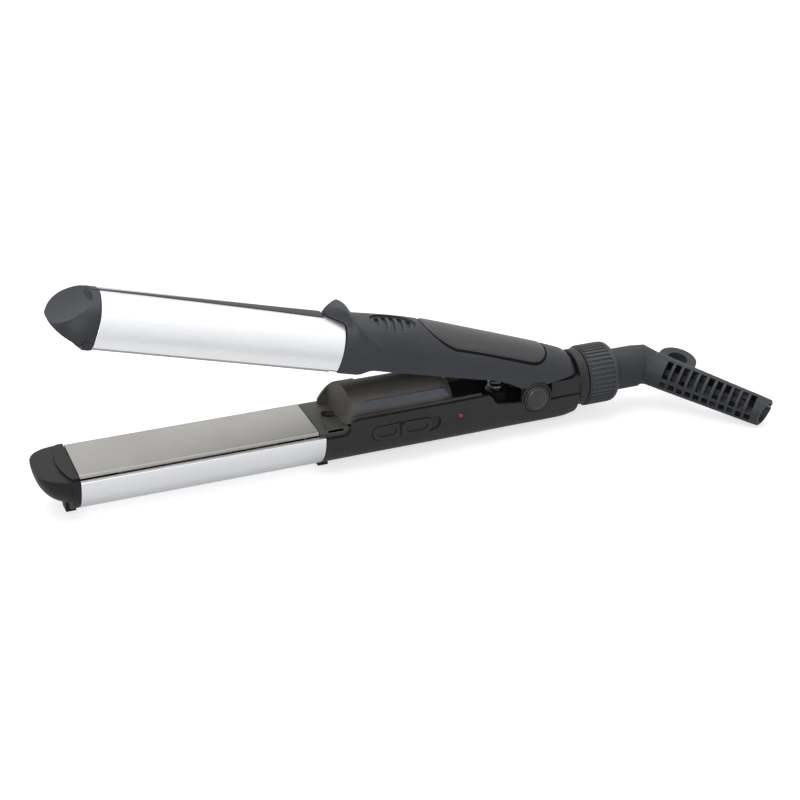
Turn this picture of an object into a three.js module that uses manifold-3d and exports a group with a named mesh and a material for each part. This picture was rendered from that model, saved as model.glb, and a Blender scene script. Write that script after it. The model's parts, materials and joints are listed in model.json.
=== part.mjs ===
// Mini straightening and curling iron, in millimetres, +Z up.
// The lower arm lies along +X from its tip, and the photographed side faces -Y.
// Both arms are drawn closed against the parting plane z = 0; the upper arm is then opened about the hinge.
// The finished object's origin is the middle of the front foot's flat underside.

import * as THREE from 'three';
import { mergeVertices } from 'three/addons/utils/BufferGeometryUtils.js';
import Module from 'manifold-3d';

const wasm = await Module();
wasm.setup();

// Driving dimensions
const SEAM = 0.3; // clearance between touching pieces
const PLATE_LENGTH = 90;
const PLATE_WIDTH = 25;
const PLATE_THICKNESS = 1.6;
const PLATE_CHAMFER = 0.7;
const BARREL_RADIUS = 15;
const BARREL_WALL = 1.2;
const BARREL_DROP = 2.8; // centre of the half round below the parting plane
const BARREL_OVERRUN = 2; // barrel beyond the plate, towards the handle
const LIP_DROP = 1.9; // barrel lip below the plate's face
const NOSE_LENGTH = 15;
const NOSE_INSET = 0.8; // nose narrower than its rim on each side
const NOSE_STEP = 1.7; // and lower than it at the crest
const NOSE_SQUARENESS = 2.4; // exponent of the nose's sections: 2 is an ellipse
const NOSE_FACE_DROP = 1.2;
const NOSE_RIM_LENGTH = 2.8;
const NOSE_PLUG_LENGTH = 5.5;
const PAD_REACH = 5.6; // stepped pad beside the plate
const PAD_DROP = 0.2;
const FACET_AHEAD = 8.8; // middle of the thumb facet ahead of the plate
const FACET_BELOW_CREST = 7.3;
const FACET_TILT = THREE.MathUtils.degToRad(42.8);
const FACET_RADIUS = 55; // of the sphere that hollows it
const FACET_HOLLOW = 1.2;
const FOOT_REACH = 1.5; // foot below the barrel
const FOOT_WIDTH = 11;
const FRONT_FOOT_LENGTH = 3.7;
const REAR_FOOT_LENGTH = 5;
const SPINE_HEIGHT = 1.2;
const SPINE_FRONT_HALF_WIDTH = 1;
const SPINE_REAR_HALF_WIDTH = 2.6;
const UPPER_LEAN = 0.17; // how far the upper barrel's ends lean back for each millimetre up
const HEATER_LENGTH = 60;
const HEATER_WIDTH = 14;
const HEATER_THICKNESS = 3;
const CARRIER_WALL = 1.6;
const CARRIER_WIDTH = 20;
const FUSE_RADIUS = 1.5;
const FUSE_LENGTH = 12;
const HANDLE_LENGTH = 107.7;
const LOWER_WALL = 1.6;
const UPPER_WALL = 1.9;
const HINGE_FROM_TAIL = 19.5; // hinge axis ahead of the lower handle's rear end
const HINGE_DROP = 3.1; // hinge axis below the parting plane
const OPENING = THREE.MathUtils.degToRad(15.4);
const PIN_RADIUS = 1.5;
const LUG_RADIUS = 6.5;
const CAP_RADIUS = 5.3;
const CAP_DEPTH = 0.8; // depth of the cap's recess in the lug
const CAP_CROWN = 1.1;
const GUARD_HEIGHT = 5.7; // finger guard above the handle, at the top
const GUARD_FRONT = 7.5; // its front edge ahead of the handle, at the top
const GUARD_BACK = 2.8;
const GUARD_SWEEP = 18; // how far the guard's crest runs back on its way down
const DOME_INSET = 5.3; // dome inside the barrel's radius
const DOME_CENTRE = 1.2; // above the parting plane
const DOME_WALL = 1.4;
const DOME_LENGTH = 45;
const DECK_LENGTH = 12.7;
const DECK_DROP = 0.3;
const DECK_THICKNESS = 2.9;
const SCREW_HEAD_RADIUS = 2.7;
const SCREW_SHANK_RADIUS = 1.3;
const SCREW_LENGTH = 9;
const BOSS_RADIUS = 3;
const SWITCH_CENTRE = 32.4; // along the handle
const SWITCH_DROP = 4.4;
const RECESS_LENGTH = 28.5;
const RECESS_HEIGHT = 6.4;
const RECESS_DEPTH = 1;
const SLIDER_LENGTH = 24.4;
const SLIDER_TRAVEL = 3;
const LED_ALONG = 55.1;
const LED_DROP = 3.7;
const LED_RADIUS = 1.5;
const VENT_ALONG = 22.5;
const VENT_LENGTH = 18;
const VENT_WIDTH = 16;
const VENT_COUNT = 5;
const VENT_DISH_DEPTH = 0.7;
const VENT_PITCH = 3.3;
const VENT_SLOT = 1.9;
const INLAY_START = 35;
const INLAY_END = 92;
const INLAY_HALF_WIDTH = 10.2;
const INLAY_DEPTH = 0.9;
const INLAY_PROUD = 0.3;
const COLLAR_RADIUS = 11.3;
const COLLAR_LENGTH = 4;
const TAIL_DROP = 2.8; // tail axis below the parting plane
const RING_LENGTH = 10.4;
const RING_RADIUS = 12.1;
const RING_RIBS = 36;
const RING_RIB_DEPTH = 0.35;
const SPIGOT_RADIUS = 8.6;
const STEM_RADIUS = 5.9;
const CLIP_THICKNESS = 1;
const NECK_RADIUS = 8.4;
const NECK_LENGTH = 18.4; // flange face to the elbow
const NECK_FLANGE_RADIUS = 9.3;
const NECK_FLANGE_LENGTH = 2.6;
const BOOT_BEND = THREE.MathUtils.degToRad(47.5);
const BOOT_SWING = THREE.MathUtils.degToRad(16); // below the horizontal, towards -Y
const BOOT_LENGTH = 52.5;
const BOOT_START_RADIUS = 7.2;
const BOOT_END_RADIUS = 5.9;
const CORD_BORE_RADIUS = 2.9;
const WINDOW_COUNT = 11;
const WINDOW_PITCH = 3.8;
const WINDOW_SLOT = 2.2;
const WINDOW_START = 9;
const LOOP_ALONG = 11.8; // middle of the hang loop from the elbow
const LOOP_REACH = 18.6; // hang loop's outer edge from the boot's axis
const LOOP_LENGTH = 15.6;
const LOOP_THICKNESS = 2.4;
const LOOP_BAND = 2.7;
const SPRING_RADIUS = 3.3; // to the middle of the wire
const SPRING_WIRE_RADIUS = 0.45;
const SPRING_TURNS = 6;
const SPRING_AHEAD = 12; // spring axis ahead of the hinge

// Places worked out from the driving dimensions
const BARREL_END = PLATE_LENGTH + BARREL_OVERRUN;
const HANDLE_X = BARREL_END + SEAM;
const HANDLE_END = HANDLE_X + HANDLE_LENGTH;
const HINGE_X = HANDLE_END - HINGE_FROM_TAIL;
const HINGE_Z = -HINGE_DROP;
const BARREL_CREST = BARREL_DROP + BARREL_RADIUS;
const CREST_LEAN = UPPER_LEAN * (BARREL_CREST - LIP_DROP);
const BASE_Z = -(BARREL_CREST + FOOT_REACH);
const DOME_RADIUS = BARREL_RADIUS - DOME_INSET;
const FOOT_X = -SEAM - FRONT_FOOT_LENGTH / 2;
const TAIL_Z = -TAIL_DROP;
const COLLAR_X = HANDLE_END + SEAM;
const RING_X = COLLAR_X + COLLAR_LENGTH + SEAM;
const BOOT_X = RING_X + RING_LENGTH + SEAM;
const ELBOW_X = BOOT_X + NECK_LENGTH;
const SPRING_X = HINGE_X - SPRING_AHEAD;
const DECK_X = PLATE_LENGTH + SEAM;
const DOME_X = DECK_X + DECK_LENGTH - 2;
const DOME_END = DOME_X + DOME_LENGTH;
const ARC_STEPS = 22;
const INSIDE_ARC_STEPS = 16; // rooms inside the handles are drawn a little coarser
const SMALLEST_DETAIL = 0.01; // edges finer than this are closed up
const OUTSIDE_STEP = 7;
const INSIDE_STEP = 14;

// Geometry helpers

function toSolid(geometry) {
  const bare = geometry.clone();
  bare.deleteAttribute('normal');
  bare.deleteAttribute('uv');
  const merged = mergeVertices(bare, 1e-4);
  const vertProperties = new Float32Array(merged.attributes.position.array);
  const corners = [];
  for (let i = 0; i < merged.index.count; i += 3) {
    const [a, b, c] = merged.index.array.slice(i, i + 3);
    if (a !== b && b !== c && c !== a) corners.push(a, b, c);
  }
  const triVerts = new Uint32Array(corners);
  return new wasm.Manifold(new wasm.Mesh({ numProp: 3, vertProperties, triVerts }));
}

function toGeometry(solid) {
  const mesh = solid.getMesh();
  const geometry = new THREE.BufferGeometry();
  geometry.setAttribute('position', new THREE.BufferAttribute(new Float32Array(mesh.vertProperties), 3));
  geometry.setIndex(new THREE.BufferAttribute(new Uint32Array(mesh.triVerts), 1));
  geometry.computeVertexNormals();
  return geometry;
}

function joined(...solids) {
  return solids.reduce((sum, solid) => sum.add(solid));
}

function cut(solid, ...tools) {
  return tools.reduce((rest, tool) => rest.subtract(tool), solid);
}

function placed(geometry, xAxis, yAxis, zAxis, origin = new THREE.Vector3()) {
  const matrix = new THREE.Matrix4().makeBasis(xAxis, yAxis, zAxis).setPosition(origin);
  return geometry.applyMatrix4(matrix);
}

const X = new THREE.Vector3(1, 0, 0);
const Y = new THREE.Vector3(0, 1, 0);
const Z = new THREE.Vector3(0, 0, 1);

function extruded(shape, depth) {
  return new THREE.ExtrudeGeometry(shape, { depth, bevelEnabled: false, curveSegments: ARC_STEPS });
}

// A shape drawn in (y, z), standing from x = from to x = to
function slabAlongX(shape, from, to) {
  return toSolid(placed(extruded(shape, to - from), Y, Z, X, new THREE.Vector3(from, 0, 0)));
}

// A shape drawn in (x, z), standing from y = from to y = to
function slabAlongY(shape, from, to) {
  return toSolid(placed(extruded(shape, to - from), X, Z, Y.clone().negate(), new THREE.Vector3(0, to, 0)));
}

// A shape drawn in (x, y), standing from z = from to z = to
function slabAlongZ(shape, from, to) {
  return toSolid(placed(extruded(shape, to - from), X, Y, Z, new THREE.Vector3(0, 0, from)));
}

function block(x0, x1, y0, y1, z0, z1) {
  const geometry = new THREE.BoxGeometry(x1 - x0, y1 - y0, z1 - z0);
  return toSolid(geometry.translate((x0 + x1) / 2, (y0 + y1) / 2, (z0 + z1) / 2));
}

function rodAlongX(radius, x0, x1, y, z, sides = 32, endRadius = radius) {
  const geometry = new THREE.CylinderGeometry(endRadius, radius, x1 - x0, sides);
  return toSolid(geometry.rotateZ(-Math.PI / 2).translate((x0 + x1) / 2, y, z));
}

function rodAlongY(radius, y0, y1, x, z, sides = 32) {
  const geometry = new THREE.CylinderGeometry(radius, radius, y1 - y0, sides);
  return toSolid(geometry.translate(x, (y0 + y1) / 2, z));
}

function rodAlongZ(radius, z0, z1, x, y, sides = 20) {
  const geometry = new THREE.CylinderGeometry(radius, radius, z1 - z0, sides);
  return toSolid(geometry.rotateX(Math.PI / 2).translate(x, y, (z0 + z1) / 2));
}

function polygon(points) {
  return new THREE.Shape(points.map(([u, v]) => new THREE.Vector2(u, v)));
}

function ellipse(u, v, radiusU, radiusV) {
  const shape = new THREE.Shape();
  shape.absellipse(u, v, radiusU, radiusV, 0, 2 * Math.PI, false);
  return shape;
}

// A closed skin through rings of points, with a fan over each end
function loft(rings) {
  const count = rings[0].length;
  const centre = (ring) => ring.reduce((sum, p) => sum.add(p), new THREE.Vector3()).divideScalar(count);
  const points = [...rings.flat(), centre(rings[0]), centre(rings[rings.length - 1])];
  const faces = [];
  for (let row = 0; row < rings.length - 1; row += 1) {
    for (let i = 0; i < count; i += 1) {
      const j = (i + 1) % count;
      const a = row * count + i;
      const b = row * count + j;
      faces.push(a, b, b + count, a, b + count, a + count);
    }
  }
  const last = (rings.length - 1) * count;
  for (let i = 0; i < count; i += 1) {
    const j = (i + 1) % count;
    faces.push(j, i, points.length - 2, last + i, last + j, points.length - 1);
  }
  const geometry = new THREE.BufferGeometry();
  geometry.setAttribute('position', new THREE.Float32BufferAttribute(points.flatMap((p) => [p.x, p.y, p.z]), 3));
  geometry.setIndex(faces);
  return geometry;
}

function turnedInsideOut(geometry) {
  const index = geometry.index.array;
  for (let i = 0; i < index.length; i += 3) {
    [index[i], index[i + 1]] = [index[i + 1], index[i]];
  }
  return geometry;
}

// The same piece on the other side of the parting plane
function acrossPartingPlane(solid) {
  return toSolid(turnedInsideOut(toGeometry(solid).scale(1, 1, -1)));
}

// A piece of the closed upper arm whose ends lean back towards the crest
function leaned(solid) {
  return solid.transform([1, 0, 0, 0, 0, 1, 0, 0, UPPER_LEAN, 0, 1, 0, -UPPER_LEAN * LIP_DROP, 0, 0, 1]);
}

// A smooth value along x through a few [x, value] stations
function along(stations, x) {
  const last = stations.length - 1;
  if (x <= stations[0][0]) return stations[0][1];
  if (x >= stations[last][0]) return stations[last][1];
  const i = stations.findIndex(([station]) => station > x) - 1;
  const slope = (a, b) => (stations[b][1] - stations[a][1]) / (stations[b][0] - stations[a][0]);
  const [x0, v0] = stations[i];
  const [x1, v1] = stations[i + 1];
  const span = x1 - x0;
  const m0 = slope(Math.max(i - 1, 0), i + 1) * span;
  const m1 = slope(i, Math.min(i + 2, last)) * span;
  const t = (x - x0) / span;
  const t2 = t * t;
  const t3 = t2 * t;
  return (2 * t3 - 3 * t2 + 1) * v0 + (t3 - 2 * t2 + t) * m0 + (3 * t2 - 2 * t3) * v1 + (t3 - t2) * m1;
}

function spread(from, to, step) {
  const count = Math.ceil((to - from) / step);
  return Array.from({ length: count + 1 }, (_, i) => from + ((to - from) * i) / count);
}

// Handle forms: stations are shares of the handle's length, and values are shares of the barrel's radius

const LOWER_HALF_WIDTH = [[0, 0.973], [0.111, 0.947], [0.529, 0.887], [0.743, 0.807], [0.864, 0.767], [1, 0.747]];
const LOWER_REACH = [[0, 0.98], [0.529, 0.993], [0.743, 1.007], [0.956, 1.013], [1, 0.94]];
const UPPER_HALF_WIDTH = [
  [0, 0.973], [0.232, 0.953], [0.529, 0.887], [0.743, 0.793], [0.91, 0.733], [0.947, 0.713], [0.974, 0.66],
];
const UPPER_REACH = [
  [0, 1.08], [0.223, 1.16], [0.353, 1.147], [0.529, 1.053], [0.743, 0.933], [0.91, 0.82], [0.947, 0.747], [0.974, 0.547],
];
const UPPER_CENTRE = 2;
const UPPER_SHORTFALL = 2.8; // the upper handle ends ahead of the lower one, so that it can swing
const UPPER_END = HANDLE_END - UPPER_SHORTFALL;
const SQUARENESS = 2.2; // exponent of the handle's section: 2 is an ellipse

const LOWER_FORM = { halfWidth: LOWER_HALF_WIDTH, reach: LOWER_REACH, centre: BARREL_DROP };
const UPPER_FORM = { halfWidth: UPPER_HALF_WIDTH, reach: UPPER_REACH, centre: UPPER_CENTRE };

const handleShare = (x) => (x - HANDLE_X) / HANDLE_LENGTH;
const atShare = (share) => HANDLE_X + share * HANDLE_LENGTH;
const halfWidthAt = (form, x) => BARREL_RADIUS * along(form.halfWidth, handleShare(x));
const reachAt = (form, x) => BARREL_RADIUS * along(form.reach, handleShare(x));
const heightAt = (form, x) => form.centre + reachAt(form, x);

// One ring of points over a handle, from one skirt to the other.
// place(angle) says how far along the handle a point lies and how far it stands out from the handle's skin.
function archRing(form, skirt, steps, place) {
  const ring = [];
  for (let i = 0; i <= steps; i += 1) {
    const angle = Math.PI * (1 - i / steps);
    const { x, out } = place(angle);
    const c = Math.cos(angle);
    const s = Math.sin(angle);
    const halfWidth = halfWidthAt(form, x) + out;
    const reach = reachAt(form, x) + out;
    const y = Math.sign(c) * Math.abs(c) ** (2 / SQUARENESS) * halfWidth;
    ring.push(new THREE.Vector3(x, y, form.centre + s ** (2 / SQUARENESS) * reach));
  }
  const foot = (point) => new THREE.Vector3(point.x, point.y, skirt);
  return [foot(ring[0]), ...ring, foot(ring[ring.length - 1])];
}

function formRings(form, inset, stations, skirt) {
  const steps = inset > 0 ? INSIDE_ARC_STEPS : ARC_STEPS;
  return stations.map((x) => archRing(form, skirt, steps, () => ({ x, out: -inset })));
}

// The lower handle's outside, or the same form drawn inside it by an inset, up to a flat top
function lowerForm(inset, from, to, top) {
  const rings = formRings(LOWER_FORM, inset, spread(from, to, inset > 0 ? INSIDE_STEP : OUTSIDE_STEP), -top);
  rings.flat().forEach((point) => point.setZ(-point.z));
  return toSolid(loft(rings));
}

const UPPER_SKIRT = -HINGE_DROP - LUG_RADIUS;
const TAPER_LENGTH = 5; // the upper handle rounds off over this length at its rear

function upperForm(inset, from, to) {
  const rings = formRings(UPPER_FORM, inset, spread(from, to, inset > 0 ? INSIDE_STEP : OUTSIDE_STEP), UPPER_SKIRT);
  return toSolid(turnedInsideOut(loft(rings)));
}

function upperOutside(from, to) {
  const stations = [...spread(from, to - TAPER_LENGTH, OUTSIDE_STEP), ...spread(to - TAPER_LENGTH, to, 1).slice(1)];
  return toSolid(turnedInsideOut(loft(formRings(UPPER_FORM, 0, stations, UPPER_SKIRT))));
}

// The finger guard: a collar across the top whose crest sweeps back and sinks into the handle down each side.
// Stations are shares of the way down from the top; values are shares of the sweep and of the guard's height.
const GUARD_CREST = [[0, 0], [0.16, 0.13], [0.31, 0.28], [0.42, 0.43], [0.5, 0.56], [0.58, 0.74], [0.68, 1]];
const GUARD_FIN = [[0, 1], [0.31, 0.93], [0.4, 0.81], [0.5, 0.42], [0.58, 0.16], [0.68, 0], [1, 0]];
const GUARD_CREST_AHEAD = 0.9;

function fingerGuard() {
  const rootDepth = 0.8;
  const lift = 0.15; // share of the guard's height at its front edge
  const hollow = 1.5;
  const ring = (ahead, behind) => archRing(UPPER_FORM, UPPER_SKIRT, ARC_STEPS + 10, (angle) => {
    const fromTop = Math.abs(angle - Math.PI / 2) / (Math.PI / 2);
    const crest = HANDLE_X - GUARD_CREST_AHEAD + GUARD_SWEEP * along(GUARD_CREST, fromTop);
    const onTop = Math.cos(Math.PI * Math.min(2 * fromTop, 0.5)) ** 2;
    const front = HANDLE_X + CREST_LEAN * Math.sin(angle) - GUARD_FRONT * onTop;
    const fin = GUARD_HEIGHT * along(GUARD_FIN, fromTop);
    const rise = (lift + (1 - lift) * ahead ** hollow) * Math.cos((Math.PI / 2) * behind);
    const x = THREE.MathUtils.lerp(front, crest, ahead) + behind * GUARD_BACK;
    return { x, out: (fin + rootDepth) * rise - rootDepth };
  });
  const rings = [0, 0.25, 0.5, 0.75, 0.9].map((ahead) => ring(ahead, 0));
  rings.push(...[0, 0.25, 0.5, 0.75, 1].map((behind) => ring(1, behind)));
  return toSolid(turnedInsideOut(loft(rings)));
}

// Barrel outline of the lower arm in (y, z), closed straight across at z = top
function barrelOutline(radius, top) {
  const below = Math.asin(Math.max(-BARREL_DROP - top, 0) / radius);
  const shape = new THREE.Shape();
  shape.moveTo(-radius * Math.cos(below), top);
  shape.lineTo(-radius * Math.cos(below), Math.min(top, -BARREL_DROP));
  shape.absarc(0, -BARREL_DROP, radius, Math.PI + below, 2 * Math.PI - below, false);
  shape.lineTo(radius * Math.cos(below), top);
  return shape;
}

// Pieces that both arms share, drawn for the lower arm

function barrelShell() {
  const shape = new THREE.Shape();
  const inner = BARREL_RADIUS - BARREL_WALL;
  const lip = PLATE_WIDTH / 2 + SEAM;
  shape.moveTo(-BARREL_RADIUS, -LIP_DROP);
  shape.lineTo(-BARREL_RADIUS, -BARREL_DROP);
  shape.absarc(0, -BARREL_DROP, BARREL_RADIUS, Math.PI, 2 * Math.PI, false);
  shape.lineTo(BARREL_RADIUS, -LIP_DROP);
  shape.lineTo(lip, -LIP_DROP);
  shape.lineTo(lip, -BARREL_DROP);
  shape.absarc(0, -BARREL_DROP, inner, 0, -Math.PI, true);
  shape.lineTo(-lip, -BARREL_DROP);
  shape.lineTo(-lip, -LIP_DROP);
  return slabAlongX(shape, 0, BARREL_END);
}

function heatingPlate() {
  const half = PLATE_WIDTH / 2;
  const shape = polygon([
    [-half, -PLATE_THICKNESS],
    [half, -PLATE_THICKNESS],
    [half, -PLATE_CHAMFER],
    [half - PLATE_CHAMFER, 0],
    [-half + PLATE_CHAMFER, 0],
    [-half, -PLATE_CHAMFER],
  ]);
  return slabAlongX(shape, 0, PLATE_LENGTH);
}

const HEATER_TOP = -PLATE_THICKNESS - SEAM;
const CARRIER_TOP = HEATER_TOP - HEATER_THICKNESS - SEAM;
const CARRIER_X0 = NOSE_PLUG_LENGTH + SEAM;
const CARRIER_X1 = PLATE_LENGTH - 4;
const SLEEVE_OVERLAP = 2.5; // how far a handle's sleeve for the barrel is rooted in the handle
const SLEEVE_WALL = 1.8;

function heater() {
  const from = (PLATE_LENGTH - HEATER_LENGTH) / 2;
  return block(from, from + HEATER_LENGTH, -HEATER_WIDTH / 2, HEATER_WIDTH / 2, CARRIER_TOP + SEAM, HEATER_TOP);
}

function heaterCarrier() {
  const half = CARRIER_WIDTH / 2;
  const web = block(CARRIER_X0, CARRIER_X1, -half, half, CARRIER_TOP - CARRIER_WALL, CARRIER_TOP);
  const leg = (y) => block(CARRIER_X0, CARRIER_X1, y, y + CARRIER_WALL, BASE_Z, CARRIER_TOP);
  const body = joined(web, leg(-half), leg(half - CARRIER_WALL));
  const room = barrelOutline(BARREL_RADIUS - BARREL_WALL - SEAM, 0);
  return body.intersect(slabAlongX(room, CARRIER_X0, CARRIER_X1));
}

// Sections of the nose from its tip to its rim, each a half round that is a little square
function noseBullet() {
  const halfWidth = BARREL_RADIUS - NOSE_INSET;
  const reach = BARREL_RADIUS - NOSE_STEP;
  const tipSteps = 9;
  const rings = [];
  for (let i = 1; i <= tipSteps; i += 1) {
    const swing = (i / tipSteps) * (Math.PI / 2);
    const size = Math.sin(swing) ** (2 / NOSE_SQUARENESS);
    const x = -(NOSE_LENGTH - SEAM) * Math.cos(swing) ** (2 / NOSE_SQUARENESS) - SEAM;
    const ring = [new THREE.Vector3(x, halfWidth * size, -NOSE_FACE_DROP)];
    for (let k = 0; k <= ARC_STEPS; k += 1) {
      const angle = (Math.PI * k) / ARC_STEPS;
      const y = Math.sign(Math.cos(angle)) * Math.abs(Math.cos(angle)) ** (2 / NOSE_SQUARENESS) * halfWidth * size;
      const drop = Math.sin(angle) ** (2 / NOSE_SQUARENESS) * reach * size;
      ring.push(new THREE.Vector3(x, y, -NOSE_FACE_DROP - (BARREL_DROP - NOSE_FACE_DROP) * size - drop));
    }
    ring.push(new THREE.Vector3(x, -halfWidth * size, -NOSE_FACE_DROP));
    rings.push(ring);
  }
  return toSolid(turnedInsideOut(loft(rings)));
}

// A sphere that hollows the thumb facet out of the nose's front
function facetSphere() {
  const ball = new THREE.SphereGeometry(FACET_RADIUS, 128, 96);
  const away = FACET_RADIUS - FACET_HOLLOW;
  ball.translate(-FACET_AHEAD - away * Math.sin(FACET_TILT), 0, -(BARREL_CREST - FACET_BELOW_CREST) - away * Math.cos(FACET_TILT));
  return toSolid(ball);
}

function noseHead() {
  const back = -SEAM;
  const rim = slabAlongX(barrelOutline(BARREL_RADIUS, -NOSE_FACE_DROP), back - NOSE_RIM_LENGTH, back);
  const padWidth = BARREL_RADIUS - NOSE_INSET - 0.6;
  const pad = new THREE.Shape();
  pad.moveTo(back, padWidth);
  pad.lineTo(-PAD_REACH / 2, padWidth);
  pad.quadraticCurveTo(-PAD_REACH * 1.5, 0, -PAD_REACH / 2, -padWidth);
  pad.lineTo(back, -padWidth);
  return joined(cut(noseBullet(), facetSphere()), rim, slabAlongZ(pad, -NOSE_FACE_DROP - 1, -PAD_DROP));
}

function nosePlug() {
  const outline = barrelOutline(BARREL_RADIUS - BARREL_WALL - SEAM, -BARREL_DROP - SEAM);
  return slabAlongX(outline, -SEAM - 1, NOSE_PLUG_LENGTH);
}

function lowerNoseCap() {
  return joined(noseHead(), nosePlug(), foot(-SEAM - FRONT_FOOT_LENGTH, -SEAM));
}

function upperNoseCap() {
  return joined(leaned(acrossPartingPlane(noseHead())), acrossPartingPlane(nosePlug()));
}

// A foot follows the barrel's curve just outside it and is cut flat at the base
function foot(from, to) {
  const outline = barrelOutline(BARREL_RADIUS + FOOT_REACH + 0.4, -BARREL_DROP - BARREL_RADIUS / 2);
  const flat = block(from, to, -FOOT_WIDTH / 2, FOOT_WIDTH / 2, BASE_Z, -BARREL_DROP - BARREL_RADIUS / 2);
  return slabAlongX(outline, from, to).intersect(flat);
}

// A countersunk screw whose head lies at z = top, driven downwards
function coverScrew(x, top) {
  const head = rodAlongZ(SCREW_HEAD_RADIUS, top - 1.2, top, x, 0);
  const shank = rodAlongZ(SCREW_SHANK_RADIUS, top - SCREW_LENGTH, top - 1, x, 0, 12);
  const slotLong = block(x - 1.5, x + 1.5, -0.3, 0.3, top - 0.6, top + 1);
  const slotWide = block(x - 0.3, x + 0.3, -1.5, 1.5, top - 0.6, top + 1);
  return cut(joined(head, shank), slotLong, slotWide);
}

function screwHole(x, top) {
  const counterbore = rodAlongZ(SCREW_HEAD_RADIUS + SEAM, top - SEAM, top + 4, x, 0);
  const clear = rodAlongZ(SCREW_SHANK_RADIUS + SEAM, top - 4, top, x, 0, 12);
  return joined(counterbore, clear);
}

function screwBoss(x, from, to) {
  return rodAlongZ(BOSS_RADIUS, from, to, x, 0);
}

// Lower arm

const LOWER_SCREW_X = DECK_X + 8;
const DECK_BOTTOM = -DECK_DROP - DECK_THICKNESS;
const FLANGE_BOTTOM = -DECK_DROP - 1.2;

const SHOULDER_DROP = 2.9; // lower handle's edge beside the deck, below the parting plane
const RAIL_RISE = 2.7; // and beside the dome, above it
const REAR_EDGE_DROP = 5; // and behind the hinge

function lowerSideProfile() {
  const below = BASE_Z - 1;
  const shape = new THREE.Shape();
  shape.moveTo(atShare(0), below);
  shape.lineTo(atShare(0), -SHOULDER_DROP);
  shape.lineTo(atShare(0.065), -SHOULDER_DROP);
  shape.bezierCurveTo(atShare(0.0975), -SHOULDER_DROP, atShare(0.088), RAIL_RISE, atShare(0.125), RAIL_RISE);
  shape.lineTo(atShare(0.613), RAIL_RISE - SEAM);
  shape.bezierCurveTo(atShare(0.645), RAIL_RISE - SEAM, atShare(0.641), -REAR_EDGE_DROP * 0.44, atShare(0.673), -REAR_EDGE_DROP * 0.46);
  shape.lineTo(atShare(0.743), -REAR_EDGE_DROP * 0.66);
  shape.lineTo(atShare(0.854), -REAR_EDGE_DROP);
  shape.lineTo(HANDLE_END, -REAR_EDGE_DROP);
  shape.lineTo(HANDLE_END, below);
  return shape;
}

function hingeLug(side) {
  const y = side * (SIDE_AT_HINGE - LOWER_WALL / 2);
  return rodAlongY(LUG_RADIUS, y - LOWER_WALL / 2, y + LOWER_WALL / 2, HINGE_X, HINGE_Z);
}

function recessShape(length, height, centreX) {
  const half = length / 2 - height / 2;
  const shape = new THREE.Shape();
  shape.absarc(centreX + half, -SWITCH_DROP, height / 2, -Math.PI / 2, Math.PI / 2, false);
  shape.absarc(centreX - half, -SWITCH_DROP, height / 2, Math.PI / 2, 1.5 * Math.PI, false);
  return shape;
}

const SWITCH_X = HANDLE_X + SWITCH_CENTRE;
const SIDE_AT_SWITCH = halfWidthAt(LOWER_FORM, SWITCH_X);
const SLIDER_X = SWITCH_X - (RECESS_LENGTH - SLIDER_LENGTH) / 2 + SEAM;
const LED_X = HANDLE_X + LED_ALONG;
const SIDE_AT_LED = halfWidthAt(LOWER_FORM, LED_X);
const SIDE_AT_HINGE = halfWidthAt(LOWER_FORM, HINGE_X);
const STEM_SLOT_HEIGHT = 2.6;
const SLIDER_STEM_LENGTH = 8;

// The sleeve inside the barrel's rear end, drawn for the lower arm
function barrelSleeve(overlap) {
  const outer = barrelOutline(BARREL_RADIUS - BARREL_WALL - SEAM, CARRIER_TOP);
  const inner = barrelOutline(BARREL_RADIUS - BARREL_WALL - SEAM - SLEEVE_WALL, 0);
  return cut(
    slabAlongX(outer, CARRIER_X1 + SEAM, HANDLE_X + overlap),
    slabAlongX(inner, CARRIER_X1, HANDLE_X + overlap + 1));
}

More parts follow.
